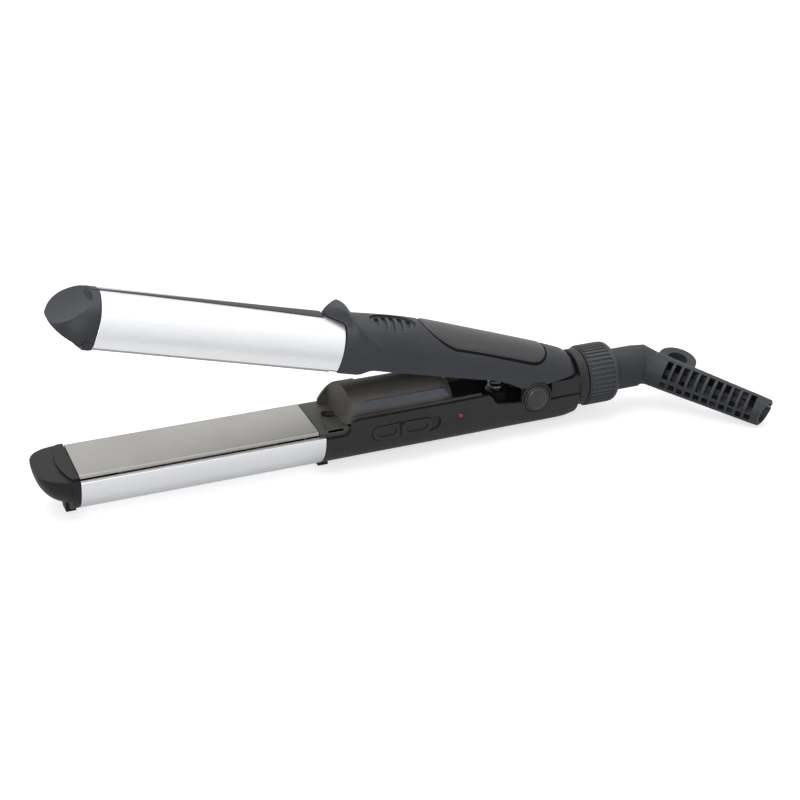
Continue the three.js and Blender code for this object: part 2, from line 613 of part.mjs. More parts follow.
function lowerHandleShell() {
  const outside = lowerForm(0, HANDLE_X, HANDLE_END, RAIL_RISE + 1);
  const profile = slabAlongY(lowerSideProfile(), -BARREL_RADIUS - 1, BARREL_RADIUS + 1);
  const room = lowerForm(LOWER_WALL, HANDLE_X - 1, HANDLE_END + 1, RAIL_RISE + 3);
  const rearFoot = foot(HANDLE_X, HANDLE_X + REAR_FOOT_LENGTH);
  const shell = cut(joined(outside.intersect(profile), rearFoot, hingeLug(1), hingeLug(-1)), room);
  const sleeve = barrelSleeve(SLEEVE_OVERLAP);
  const floor = -heightAt(LOWER_FORM, LOWER_SCREW_X) + LOWER_WALL / 2;
  const boss = screwBoss(LOWER_SCREW_X, floor, DECK_BOTTOM - SEAM);
  const postFloor = -heightAt(LOWER_FORM, SPRING_X) + LOWER_WALL / 2;
  const post = rodAlongZ(SPRING_RADIUS + 1.2, postFloor, SPRING_BOTTOM - SEAM, SPRING_X, 0);
  const pilot = rodAlongZ(SPRING_RADIUS - 1.2, postFloor, SPRING_BOTTOM + 1.5, SPRING_X, 0);
  const solid = joined(shell, sleeve, boss, post, pilot);
  const pinHole = rodAlongY(PIN_RADIUS + SEAM / 2, -BARREL_RADIUS, BARREL_RADIUS, HINGE_X, HINGE_Z, 20);
  const capPocket = (side) => {
    const from = side * (SIDE_AT_HINGE - CAP_DEPTH);
    const to = side * (SIDE_AT_HINGE + 2);
    return rodAlongY(CAP_RADIUS + SEAM, Math.min(from, to), Math.max(from, to), HINGE_X, HINGE_Z);
  };
  const recessOutline = recessShape(RECESS_LENGTH, RECESS_HEIGHT, SWITCH_X);
  const recess = slabAlongY(recessOutline, -BARREL_RADIUS - 1, -SIDE_AT_SWITCH + RECESS_DEPTH);
  const slotFront = SLIDER_X - SLIDER_STEM_LENGTH / 2 - SEAM;
  const slotBack = SLIDER_X + SLIDER_STEM_LENGTH / 2 + SLIDER_TRAVEL + SEAM;
  const slotHalf = STEM_SLOT_HEIGHT / 2;
  const stemSlot = block(slotFront, slotBack, -BARREL_RADIUS, -SIDE_AT_SWITCH + 3, -SWITCH_DROP - slotHalf, -SWITCH_DROP + slotHalf);
  const ledHole = rodAlongY(LED_RADIUS + 0.15, -BARREL_RADIUS - 1, -SIDE_AT_LED + 3, LED_X, -LED_DROP, 20);
  const screwBore = rodAlongZ(SCREW_SHANK_RADIUS + SEAM, -DECK_DROP - SCREW_LENGTH - 1, 0, LOWER_SCREW_X, 0, 12);
  return cut(solid, pinHole, capPocket(1), capPocket(-1), recess, stemSlot, ledHole, screwBore);
}

const FRONT_RUN = 5.5; // length of the dome's hollow front
const BAR_REACH = 0.7; // side bars beyond the dome
const BAR_LOW = 1; // above the dome's centre
const BAR_HEIGHT = 4;

function lowerInnerCover() {
  const domeTop = DOME_CENTRE + DOME_RADIUS;
  const room = lowerForm(LOWER_WALL + SEAM, HANDLE_X - BARREL_OVERRUN, DOME_END + INSIDE_STEP, domeTop + 1);
  const half = PLATE_WIDTH / 2 - SEAM;
  const deckEnd = DECK_X + DECK_LENGTH;
  const deck = block(DECK_X, deckEnd, -half, half, DECK_BOTTOM, -DECK_DROP);
  const flange = block(deckEnd - 1, DOME_END + 2, -BARREL_RADIUS, BARREL_RADIUS, FLANGE_BOTTOM, -DECK_DROP);
  const side = new THREE.Shape();
  side.moveTo(DOME_X, FLANGE_BOTTOM);
  side.lineTo(DOME_X, -DECK_DROP);
  side.quadraticCurveTo(DOME_X + FRONT_RUN * 0.8, 0, DOME_X + FRONT_RUN, domeTop - 2);
  side.lineTo(DOME_X + FRONT_RUN + 2.5, domeTop + 1);
  side.lineTo(DOME_END, domeTop + 1);
  side.lineTo(DOME_END, FLANGE_BOTTOM);
  const across = new THREE.Shape();
  across.moveTo(-DOME_RADIUS, FLANGE_BOTTOM);
  across.lineTo(DOME_RADIUS, FLANGE_BOTTOM);
  across.lineTo(DOME_RADIUS, DOME_CENTRE);
  across.absarc(0, DOME_CENTRE, DOME_RADIUS, 0, Math.PI, false);
  const dome = slabAlongX(across, DOME_X, DOME_END).intersect(slabAlongY(side, -DOME_RADIUS, DOME_RADIUS));
  const bar = (sign) => {
    const points = [[BAR_REACH, BAR_LOW], [BAR_REACH - 1.6, BAR_LOW + BAR_HEIGHT], [-2.6, BAR_LOW + BAR_HEIGHT], [-2.6, BAR_LOW]];
    const section = polygon(points.map(([out, z]) => [sign * (DOME_RADIUS + out), z + DOME_CENTRE]));
    return slabAlongX(section, DOME_X + FRONT_RUN + 1, DOME_END - 0.6);
  };
  const inside = DOME_RADIUS - DOME_WALL;
  const insideX = DOME_X + FRONT_RUN + DOME_WALL;
  const hollow = rodAlongX(inside, insideX, DOME_END - DOME_WALL, 0, DOME_CENTRE);
  const under = block(insideX, DOME_END - DOME_WALL, -inside, inside, DECK_BOTTOM, DOME_CENTRE);
  const solid = joined(deck, flange, dome, bar(1), bar(-1)).intersect(room);
  return cut(solid, hollow, under, screwHole(LOWER_SCREW_X, -DECK_DROP - 1.4));
}

function switchSlider() {
  const face = -SIDE_AT_SWITCH + RECESS_DEPTH - SEAM;
  const pad = slabAlongY(recessShape(SLIDER_LENGTH, RECESS_HEIGHT - 2 * SEAM, SLIDER_X), face - 0.8, face);
  const ridge = block(SLIDER_X - 0.9, SLIDER_X + 0.9, face - 1.9, face, -SWITCH_DROP - 2.6, -SWITCH_DROP + 2.6);
  const half = SLIDER_STEM_LENGTH / 2;
  const rise = STEM_SLOT_HEIGHT / 2 - SEAM;
  const stem = block(SLIDER_X - half, SLIDER_X + half, face - 0.4, -SIDE_AT_SWITCH + 3.2, -SWITCH_DROP - rise, -SWITCH_DROP + rise);
  return joined(pad, ridge, stem);
}

const BOARD_TOP = -SWITCH_DROP - 3.4;
const BOARD_THICKNESS = 1.4;

function switchBody() {
  const outer = -SIDE_AT_SWITCH + 3.2 + SEAM;
  return block(SWITCH_X - 9, SWITCH_X + 9, outer, outer + 5, BOARD_TOP + SEAM, -SWITCH_DROP + 2.5);
}

function circuitBoard() {
  const slab = block(SWITCH_X - 17, LED_X + 6, -BARREL_RADIUS, BARREL_RADIUS, BOARD_TOP - BOARD_THICKNESS, BOARD_TOP);
  return slab.intersect(lowerForm(LOWER_WALL + SEAM, HANDLE_X, LED_X + INSIDE_STEP, 0));
}

function indicatorLens() {
  const tip = -SIDE_AT_LED - 0.2;
  const barrel = rodAlongY(LED_RADIUS, tip, tip + 4, LED_X, -LED_DROP, 16);
  const dome = new THREE.SphereGeometry(LED_RADIUS, 16, 10).scale(1, 0.5, 1).translate(LED_X, tip, -LED_DROP);
  const flange = rodAlongY(LED_RADIUS + 0.4, tip + LOWER_WALL + 0.9, tip + 4, LED_X, -LED_DROP, 16);
  return joined(barrel, toSolid(dome), flange);
}

function hingePin() {
  const reach = SIDE_AT_HINGE - CAP_DEPTH - SEAM;
  return rodAlongY(PIN_RADIUS, -reach, reach, HINGE_X, HINGE_Z, 20);
}

function hingeCap(side) {
  const seat = SIDE_AT_HINGE - CAP_DEPTH + SEAM;
  const rim = CAP_DEPTH + 0.3;
  const profile = [new THREE.Vector2(0, 0), new THREE.Vector2(CAP_RADIUS, 0), new THREE.Vector2(CAP_RADIUS, rim)];
  for (let i = 1; i <= 6; i += 1) {
    const angle = (i * Math.PI) / 12;
    profile.push(new THREE.Vector2(CAP_RADIUS * Math.cos(angle), rim + (CAP_CROWN - 0.3) * Math.sin(angle)));
  }
  profile[profile.length - 1].x = 0;
  const cap = new THREE.LatheGeometry(profile, 36);
  if (side < 0) cap.rotateX(Math.PI);
  return toSolid(cap.translate(HINGE_X, side * seat, HINGE_Z));
}

// Opening spring: one helix with flat ends, standing on the post of the lower handle

const SPRING_BOTTOM = -1.5;
const BRACKET_FACE = 8; // underside of the hinge bracket's web, above the closed parting plane
const SPRING_TOP = HINGE_Z + (BRACKET_FACE + HINGE_DROP) / Math.cos(OPENING)
  + Math.tan(OPENING) * (SPRING_AHEAD - SPRING_RADIUS - SPRING_WIRE_RADIUS) - SEAM;

class Helix extends THREE.Curve {
  getPoint(t, target = new THREE.Vector3()) {
    const flat = 1 / SPRING_TURNS; // one closed turn at each end
    const climb = THREE.MathUtils.clamp((t - flat) / (1 - 2 * flat), 0, 1);
    const ends = Math.min(t / flat, 1) + Math.max((t - 1 + flat) / flat, 0);
    const closedPitch = 2 * SPRING_WIRE_RADIUS + 0.45;
    const free = SPRING_TOP - SPRING_BOTTOM - 2 * SPRING_WIRE_RADIUS - 2 * closedPitch;
    const angle = 2 * Math.PI * SPRING_TURNS * t;
    const z = SPRING_BOTTOM + SPRING_WIRE_RADIUS + closedPitch * ends + free * climb;
    return target.set(SPRING_X + SPRING_RADIUS * Math.cos(angle), SPRING_RADIUS * Math.sin(angle), z);
  }
}

function openingSpring() {
  const helix = new Helix();
  const steps = SPRING_TURNS * 8;
  const rings = [];
  const centres = [];
  for (let i = 0; i <= steps; i += 1) {
    const centre = helix.getPoint(i / steps);
    const angle = 2 * Math.PI * SPRING_TURNS * (i / steps);
    const outward = new THREE.Vector3(Math.cos(angle), Math.sin(angle), 0);
    centres.push(centre);
    rings.push(Array.from({ length: 5 }, (_, k) => {
      const turn = (-2 * Math.PI * k) / 5;
      return centre.clone().addScaledVector(outward, SPRING_WIRE_RADIUS * Math.cos(turn))
        .add(new THREE.Vector3(0, 0, SPRING_WIRE_RADIUS * Math.sin(turn)));
    }));
  }
  let least = Infinity;
  centres.forEach((a, i) => centres.slice(i + 6).forEach((b) => {
    least = Math.min(least, a.distanceTo(b) - 2 * SPRING_WIRE_RADIUS);
  }));
  console.log(`opening spring: least gap between its turns ${least.toFixed(2)} mm`);
  return toSolid(loft(rings));
}

// Tail

const YOKE_X = HINGE_X + LUG_RADIUS + 0.5;
const YOKE_RISE = 2.1;

function tailYoke() {
  const ahead = block(YOKE_X, COLLAR_X, -BARREL_RADIUS, BARREL_RADIUS, BASE_Z, YOKE_RISE);
  const body = ahead.intersect(lowerForm(LOWER_WALL + SEAM, YOKE_X - 1, COLLAR_X, YOKE_RISE + 4));
  const cheekHalf = halfWidthAt(LOWER_FORM, HANDLE_END) - 0.6;
  const cheek = block(YOKE_X, COLLAR_X + 0.1, -cheekHalf, cheekHalf, -REAR_EDGE_DROP + SEAM, YOKE_RISE);
  const collar = rodAlongX(COLLAR_RADIUS, COLLAR_X, COLLAR_X + COLLAR_LENGTH, 0, TAIL_Z, 40);
  const spigot = rodAlongX(SPIGOT_RADIUS, COLLAR_X, BOOT_X - SEAM, 0, TAIL_Z, 40);
  const bore = rodAlongX(STEM_RADIUS + SEAM, YOKE_X - 1, BOOT_X + 1, 0, TAIL_Z);
  const clipRoom = rodAlongX(STEM_RADIUS + 2, YOKE_X - 1, CLIP_X + CLIP_THICKNESS + 2 * SEAM, 0, TAIL_Z);
  return cut(joined(body, cheek, collar, spigot), bore, clipRoom);
}

const CLIP_X = YOKE_X + 5;

function swivelClip() {
  const outer = rodAlongX(STEM_RADIUS + 1.6, CLIP_X, CLIP_X + CLIP_THICKNESS, 0, TAIL_Z);
  const inner = rodAlongX(STEM_RADIUS - 1 + SEAM, CLIP_X - 1, CLIP_X + 2, 0, TAIL_Z);
  return cut(outer, inner);
}

function lockRing() {
  const shape = new THREE.Shape();
  const points = [];
  for (let i = 0; i < RING_RIBS; i += 1) {
    const pitch = (2 * Math.PI) / RING_RIBS;
    [[0, RING_RADIUS], [0.45, RING_RADIUS], [0.6, RING_RADIUS - RING_RIB_DEPTH], [0.85, RING_RADIUS - RING_RIB_DEPTH]]
      .forEach(([part, radius]) => points.push(new THREE.Vector2(
        radius * Math.cos((i + part) * pitch), TAIL_Z + radius * Math.sin((i + part) * pitch))));
  }
  shape.setFromPoints(points);
  const bevel = 1.6;
  const outside = slabAlongX(shape, RING_X, RING_X + RING_LENGTH);
  const turned = joined(
    rodAlongX(RING_RADIUS - 0.2, RING_X, RING_X + 0.6, 0, TAIL_Z, 72, RING_RADIUS + 0.1),
    rodAlongX(RING_RADIUS + 0.1, RING_X + 0.6, RING_X + RING_LENGTH - bevel, 0, TAIL_Z, 72),
    rodAlongX(RING_RADIUS + 0.1, RING_X + RING_LENGTH - bevel, RING_X + RING_LENGTH, 0, TAIL_Z, 72, RING_RADIUS - bevel));
  const bore = rodAlongX(SPIGOT_RADIUS + SEAM, RING_X - 1, RING_X + RING_LENGTH + 1, 0, TAIL_Z, 40);
  return cut(outside.intersect(turned), bore);
}

// Cord boot, drawn from the elbow: the neck runs along X and the boot bends towards -Y

const BOOT_AXIS = new THREE.Vector3(Math.cos(BOOT_BEND), -Math.sin(BOOT_BEND), 0);
const BOOT_OUTSIDE = new THREE.Vector3(Math.sin(BOOT_BEND), Math.cos(BOOT_BEND), 0);

// Circles along the neck and the boot, with one mitred ring at the elbow
function elbowRings(stations, sides) {
  const bisector = new THREE.Vector3(Math.sin(BOOT_BEND / 2), Math.cos(BOOT_BEND / 2), 0);
  return stations.map(([distance, radius]) => {
    const before = distance < 0;
    const atElbow = distance === 0;
    const centre = before ? X.clone().multiplyScalar(distance) : BOOT_AXIS.clone().multiplyScalar(distance);
    const across = atElbow ? bisector.clone().divideScalar(Math.cos(BOOT_BEND / 2)) : (before ? Y : BOOT_OUTSIDE);
    return Array.from({ length: sides }, (_, i) => {
      const angle = (2 * Math.PI * i) / sides;
      return centre.clone().addScaledVector(across, radius * Math.cos(angle)).addScaledVector(Z, radius * Math.sin(angle));
    });
  });
}

// One strain-relief window: a block pointing outwards at an angle round the boot's axis
function bootWindow(distance, angle, span) {
  const radius = BOOT_START_RADIUS;
  const height = 2 * radius * Math.sin(span / 2);
  const geometry = new THREE.BoxGeometry(WINDOW_SLOT, radius * 2, height);
  geometry.translate(0, radius + CORD_BORE_RADIUS / 2, 0).rotateX(angle).translate(distance, 0, 0);
  return toSolid(placed(geometry, BOOT_AXIS, BOOT_OUTSIDE, Z));
}

function hangLoop() {
  const outline = new THREE.Shape();
  const half = LOOP_LENGTH / 2;
  const middle = LOOP_ALONG;
  outline.moveTo(middle - half, 0);
  outline.lineTo(middle + half, 0);
  outline.lineTo(middle + half, LOOP_REACH - half);
  outline.absarc(middle, LOOP_REACH - half, half, 0, Math.PI, false);
  const hole = new THREE.Shape();
  const inner = half - LOOP_BAND;
  hole.moveTo(middle - inner, BOOT_START_RADIUS + 0.6);
  hole.lineTo(middle + inner, BOOT_START_RADIUS + 0.6);
  hole.lineTo(middle + inner, LOOP_REACH - half);
  hole.absarc(middle, LOOP_REACH - half, inner, 0, Math.PI, false);
  outline.holes.push(hole);
  const geometry = extruded(outline, LOOP_THICKNESS).translate(0, 0, -LOOP_THICKNESS / 2);
  return toSolid(placed(geometry, BOOT_AXIS, BOOT_OUTSIDE, Z));
}

// Rows of windows: degrees round the boot's axis from its outside, and how wide they open
const WINDOW_ROWS = [[132, 58], [48, 58], [-155, 34]];
const degrees = THREE.MathUtils.degToRad;

function cordBoot() {
  const flangeFront = -NECK_LENGTH;
  const flange = flangeFront + NECK_FLANGE_LENGTH;
  const stemFront = YOKE_X + 2 - ELBOW_X;
  const skin = toSolid(loft(elbowRings([
    [flangeFront, NECK_FLANGE_RADIUS - 0.4],
    [flangeFront + 0.5, NECK_FLANGE_RADIUS],
    [flange, NECK_FLANGE_RADIUS],
    [flange + 0.1, NECK_RADIUS],
    [-3, NECK_RADIUS],
    [0, (NECK_RADIUS + BOOT_START_RADIUS) / 2],
    [6, BOOT_START_RADIUS],
    [BOOT_LENGTH - 0.6, BOOT_END_RADIUS],
    [BOOT_LENGTH, BOOT_END_RADIUS - 0.5],
  ], 24)));
  const stem = rodAlongX(STEM_RADIUS, stemFront, flangeFront + 1, 0, 0);
  const groove = cut(
    rodAlongX(STEM_RADIUS + 1, CLIP_X - SEAM - ELBOW_X, CLIP_X + CLIP_THICKNESS + SEAM - ELBOW_X, 0, 0),
    rodAlongX(STEM_RADIUS - 1, CLIP_X - 1 - ELBOW_X, CLIP_X + 3 - ELBOW_X, 0, 0));
  const bore = toSolid(loft(elbowRings([
    [stemFront - 1, CORD_BORE_RADIUS],
    [0, CORD_BORE_RADIUS],
    [BOOT_LENGTH + 1, CORD_BORE_RADIUS],
  ], 12)));
  const windows = [];
  for (let i = 0; i < WINDOW_COUNT; i += 1) {
    const distance = WINDOW_START + i * WINDOW_PITCH;
    WINDOW_ROWS.forEach(([angle, span]) => windows.push(bootWindow(distance, degrees(angle), degrees(span))));
  }
  return cut(joined(skin, stem, hangLoop()), groove, bore, ...windows);
}

// Upper arm, drawn closed

const UPPER_SCREW_X = DECK_X + 5.3;
const UPPER_DECK = 0.35;

const UPPER_FRONT_RISE = 0.9; // upper handle's lower edge at its front, above the parting plane
const UPPER_RAIL_RISE = 3.1; // and beside the dome
const UPPER_HINGE_RISE = 0.6; // and over the hinge
const UPPER_TAIL_RISE = 8.3; // and at its rear end

function upperSideProfile() {
  const top = BARREL_CREST + GUARD_HEIGHT + 10;
  const front = HANDLE_X - GUARD_FRONT - 1;
  const shape = new THREE.Shape();
  shape.moveTo(front, top);
  shape.lineTo(front, UPPER_FRONT_RISE);
  shape.lineTo(atShare(0.079), UPPER_FRONT_RISE);
  shape.bezierCurveTo(atShare(0.102), UPPER_FRONT_RISE, atShare(0.102), UPPER_RAIL_RISE, atShare(0.13), UPPER_RAIL_RISE);
  shape.lineTo(atShare(0.613), UPPER_RAIL_RISE);
  shape.quadraticCurveTo(atShare(0.687), UPPER_RAIL_RISE, atShare(0.743), UPPER_HINGE_RISE);
  shape.lineTo(HINGE_X, UPPER_HINGE_RISE);
  shape.lineTo(HINGE_X + 2.8, UPPER_HINGE_RISE + 2.6);
  shape.lineTo((HINGE_X + 2.8 + UPPER_END) / 2 - 3, UPPER_TAIL_RISE - 3.6);
  shape.lineTo(UPPER_END, UPPER_TAIL_RISE);
  shape.lineTo(UPPER_END + 1, UPPER_TAIL_RISE);
  shape.lineTo(UPPER_END + 1, top);
  return shape;
}

const UPPER_TOP = 2 * BARREL_RADIUS; // above everything on the upper handle

function inlayOutline(margin) {
  const start = HANDLE_X + INLAY_START - margin;
  const end = HANDLE_X + INLAY_END + margin;
  const half = INLAY_HALF_WIDTH + margin;
  const shape = new THREE.Shape();
  shape.moveTo(end - 10, half - 0.6);
  shape.bezierCurveTo(end - 3, half - 1.4, end, 4, end, 0);
  shape.bezierCurveTo(end, -4, end - 3, -half + 1.4, end - 10, -half + 0.6);
  shape.lineTo(start + 22, -half);
  shape.bezierCurveTo(start + 9, -half, start, -half * 0.55, start, 0);
  shape.bezierCurveTo(start, half * 0.55, start + 9, half, start + 22, half);
  return shape;
}

function gripInlay() {
  const from = HANDLE_X + INLAY_START - 2;
  const to = HANDLE_X + INLAY_END + 2;
  const skin = cut(upperForm(-INLAY_PROUD, from, to), upperForm(INLAY_DEPTH, from - 1, to + 1));
  return skin.intersect(slabAlongZ(inlayOutline(0), UPPER_CENTRE + 3, UPPER_TOP));
}

function inlayPocket() {
  const from = HANDLE_X + INLAY_START - 3;
  const to = HANDLE_X + INLAY_END + 3;
  const skin = cut(upperForm(-2, from, to), upperForm(INLAY_DEPTH + SEAM, from - 1, to + 1));
  return skin.intersect(slabAlongZ(inlayOutline(SEAM), UPPER_CENTRE + 3, UPPER_TOP));
}

function ventCuts() {
  const x = HANDLE_X + VENT_ALONG;
  const ventFloor = BARREL_RADIUS - 1; // between the dome's trough and the handle's top
  const above = upperForm(-2, x - VENT_LENGTH, x + VENT_LENGTH);
  const below = upperForm(VENT_DISH_DEPTH, x - VENT_LENGTH - 1, x + VENT_LENGTH + 1);
  const outline = ellipse(x, 0, VENT_LENGTH / 2, VENT_WIDTH / 2);
  const dish = cut(above, below).intersect(slabAlongZ(outline, ventFloor, UPPER_TOP));
  const slots = [];
  for (let i = 0; i < VENT_COUNT; i += 1) {
    const centre = x + (i - (VENT_COUNT - 1) / 2) * VENT_PITCH;
    slots.push(block(centre - VENT_SLOT / 2, centre + VENT_SLOT / 2, -VENT_WIDTH / 2, VENT_WIDTH / 2, ventFloor, UPPER_TOP));
  }
  const inEllipse = slabAlongZ(ellipse(x, 0, VENT_LENGTH / 2 - 0.8, VENT_WIDTH / 2 - 1.2), ventFloor - 1, UPPER_TOP + 1);
  return [dish, joined(...slots).intersect(inEllipse)];
}

function upperHandleShell() {
  const behindBarrel = leaned(block(HANDLE_X, 2 * HANDLE_END, -UPPER_TOP, UPPER_TOP, -UPPER_TOP, UPPER_TOP));
  const outside = joined(upperOutside(HANDLE_X, UPPER_END).intersect(behindBarrel), fingerGuard());
  const profile = slabAlongY(upperSideProfile(), -BARREL_RADIUS - GUARD_HEIGHT, BARREL_RADIUS + GUARD_HEIGHT);
  const barrelOuter = barrelOutline(BARREL_RADIUS + SEAM, BARREL_RADIUS);
  const barrelRoom = leaned(acrossPartingPlane(slabAlongX(barrelOuter, -1, HANDLE_X)));
  const room = upperForm(UPPER_WALL, HANDLE_X - 1, UPPER_END - UPPER_WALL);
  const shell = cut(outside.intersect(profile), barrelRoom, room);
  const sleeve = acrossPartingPlane(barrelSleeve(SLEEVE_OVERLAP + CREST_LEAN));
  const bossTop = heightAt(UPPER_FORM, UPPER_SCREW_X) - UPPER_WALL / 2;
  const bossCore = acrossPartingPlane(slabAlongX(barrelOutline(BARREL_RADIUS - BARREL_WALL - SEAM, 0), -1, HANDLE_END));
  const barrelWall = cut(barrelRoom, bossCore);
  const boss = cut(screwBoss(UPPER_SCREW_X, UPPER_DECK + DECK_THICKNESS + SEAM, bossTop), barrelWall);
  const lugRoom = rodAlongY(LUG_RADIUS + SEAM, -BARREL_RADIUS, BARREL_RADIUS, HINGE_X, HINGE_Z);
  const screwBore = rodAlongZ(SCREW_SHANK_RADIUS + SEAM, 0, UPPER_DECK + SCREW_LENGTH + 2, UPPER_SCREW_X, 0, 12);
  return cut(joined(shell, sleeve, boss), lugRoom, screwBore, inlayPocket(), ...ventCuts());
}

function upperInnerCover() {
  const troughEnd = DOME_END + SEAM;
  const room = upperForm(UPPER_WALL + SEAM, HANDLE_X - BARREL_OVERRUN, troughEnd + INSIDE_STEP);
  const half = PLATE_WIDTH / 2 - SEAM;
  const wallX = DOME_X - 1.9;
  const deck = block(DECK_X, wallX + 1, -half, half, UPPER_DECK, UPPER_DECK + DECK_THICKNESS);
  const outer = joined(rodAlongX(DOME_RADIUS + 1.9, wallX, troughEnd, 0, DOME_CENTRE, 40),
    block(wallX, wallX + 3, -half, half, UPPER_DECK, DOME_CENTRE + 2));
  const inner = rodAlongX(DOME_RADIUS + 1.1, wallX + 1.4, troughEnd + 1, 0, DOME_CENTRE, 40);
  const above = joined(
    block(wallX + 3 - 0.1, troughEnd + 1, -BARREL_RADIUS, BARREL_RADIUS, UPPER_RAIL_RISE + SEAM, UPPER_TOP),
    block(wallX, wallX + 3, -BARREL_RADIUS, BARREL_RADIUS, UPPER_DECK, UPPER_TOP));
  const trough = cut(outer.intersect(above), inner);
  const body = joined(deck, trough).intersect(room);
  return cut(body, acrossPartingPlane(screwHole(UPPER_SCREW_X, -UPPER_DECK - 1.4)));
}

function upperHingeBracket() {
  const ear = 9.4;
  const earWall = 2;
  const front = SPRING_X - SPRING_RADIUS - 3;
  const back = HINGE_X + 2;
  const web = block(front, back, -BARREL_RADIUS, BARREL_RADIUS, BRACKET_FACE, BRACKET_FACE + 2);
  const cheekShape = new THREE.Shape();
  cheekShape.moveTo(front + 6, BRACKET_FACE + 1);
  cheekShape.lineTo(HINGE_X - 4.2, HINGE_Z - 1);
  cheekShape.absarc(HINGE_X, HINGE_Z, 4.3, Math.PI, 2 * Math.PI, false);
  cheekShape.lineTo(HINGE_X + 2, BRACKET_FACE + 1);
  const cheek = (y) => slabAlongY(cheekShape, y, y + earWall);
  const body = joined(web, cheek(-ear), cheek(ear - earWall));
  const room = upperForm(UPPER_WALL + SEAM, front - 2, back + 4);
  const pinHole = rodAlongY(PIN_RADIUS + SEAM / 2, -BARREL_RADIUS, BARREL_RADIUS, HINGE_X, HINGE_Z, 20);
  return cut(body.intersect(room), pinHole);
}

function upperSpine() {
  const start = CREST_LEAN - SEAM - NOSE_RIM_LENGTH;
  const end = HANDLE_X + CREST_LEAN - GUARD_FRONT - SEAM;
  const rings = spread(start, end, 2 * INSIDE_STEP).map((x) => {
    const half = THREE.MathUtils.mapLinear(x, 0, end, SPINE_FRONT_HALF_WIDTH, SPINE_REAR_HALF_WIDTH);
    const outline = [[-half, -1], [half, -1], [half, SPINE_HEIGHT - 0.4], [half - 0.3, SPINE_HEIGHT],
      [-half + 0.3, SPINE_HEIGHT], [-half, SPINE_HEIGHT - 0.4]];
    return outline.map(([y, z]) => new THREE.Vector3(x, y, BARREL_CREST + z));
  });
  const barrelRoom = acrossPartingPlane(slabAlongX(barrelOutline(BARREL_RADIUS + SEAM, 0), -NOSE_LENGTH, HANDLE_END));
  return cut(toSolid(loft(rings)), barrelRoom);
}

// Materials

const finish = (color, roughness, metalness = 0) => new THREE.MeshStandardMaterial({ color, roughness, metalness });
const blackPlastic = () => finish(0x3b3c40, 0.5);
const blackRubber = () => finish(0x35363a, 0.75);
const satinPlate = () => finish(0xaaa8a4, 0.35, 0.8);
const polishedAluminium = () => finish(0xe4e5e8, 0.22, 0.9);
const glossInlay = () => finish(0x707174, 0.25);
const steel = () => finish(0xb8b8ba, 0.3, 1);
const ceramic = () => finish(0xe8e4da, 0.6);
const heatPlastic = () => finish(0xc9b48c, 0.7);
const boardGreen = () => finish(0x2d5a3a, 0.6);
const redLens = () => finish(0xc0182a, 0.15);

function named(name, solid, material) {
  const mesh = new THREE.Mesh(toGeometry(solid.simplify(SMALLEST_DETAIL)), material);
  mesh.name = name;
  return mesh;
}

// Assembly

const lowerArm = new THREE.Group();
lowerArm.add(
  named('lower_nose_cap', lowerNoseCap(), blackPlastic()),
  named('lower_barrel_shell', barrelShell(), polishedAluminium()),
  named('lower_plate', heatingPlate(), satinPlate()),
  named('lower_heater', heater(), ceramic()),
  named('lower_heater_carrier', heaterCarrier(), heatPlastic()),
  named('thermal_fuse', rodAlongX(FUSE_RADIUS, (PLATE_LENGTH - FUSE_LENGTH) / 2, (PLATE_LENGTH + FUSE_LENGTH) / 2, 0,
    CARRIER_TOP - CARRIER_WALL - SEAM - FUSE_RADIUS, 16), steel()),
  named('lower_handle_shell', lowerHandleShell(), blackPlastic()),
  named('lower_inner_cover', lowerInnerCover(), blackPlastic()),
  named('lower_cover_screw', coverScrew(LOWER_SCREW_X, -DECK_DROP - 0.5), steel()),
  named('circuit_board', circuitBoard(), boardGreen()),
  named('switch_body', switchBody(), blackPlastic()),
  named('switch_slider', switchSlider(), blackPlastic()),
  named('indicator_lens', indicatorLens(), redLens()),
  named('hinge_pin', hingePin(), steel()),
  named('hinge_cap_near', hingeCap(-1), blackPlastic()),
  named('hinge_cap_far', hingeCap(1), blackPlastic()),
  named('opening_spring', openingSpring(), steel()),
  named('tail_yoke', tailYoke(), blackPlastic()),
  named('lock_ring', lockRing(), blackRubber()),
  named('swivel_clip', swivelClip(), steel()),
);

const boot = named('cord_boot', cordBoot(), blackRubber());
boot.position.set(ELBOW_X, 0, TAIL_Z);
boot.rotation.x = BOOT_SWING;
lowerArm.add(boot);

const upperPieces = new THREE.Group();
upperPieces.position.set(-HINGE_X, 0, -HINGE_Z);
upperPieces.add(
  named('upper_nose_cap', upperNoseCap(), blackPlastic()),
  named('upper_barrel_shell', leaned(acrossPartingPlane(barrelShell())), polishedAluminium()),
  named('upper_plate', acrossPartingPlane(heatingPlate()), satinPlate()),
  named('upper_heater', acrossPartingPlane(heater()), ceramic()),
  named('upper_heater_carrier', acrossPartingPlane(heaterCarrier()), heatPlastic()),
  named('upper_spine', upperSpine(), blackPlastic()),
  named('upper_handle_shell', upperHandleShell(), blackPlastic()),
  named('grip_inlay', gripInlay(), glossInlay()),
  named('upper_inner_cover', upperInnerCover(), blackPlastic()),
  named('upper_cover_screw', acrossPartingPlane(coverScrew(UPPER_SCREW_X, -UPPER_DECK - 0.2)), steel()),
  named('upper_hinge_bracket', upperHingeBracket(), heatPlastic()),
);

const upperArm = new THREE.Group();
upperArm.position.set(HINGE_X, 0, HINGE_Z);
upperArm.rotation.y = OPENING;
upperArm.add(upperPieces);

const iron = new THREE.Group();
iron.name = 'mini_flat_iron';
iron.position.set(-FOOT_X, 0, -BASE_Z);
iron.add(lowerArm, upperArm);

export default iron;
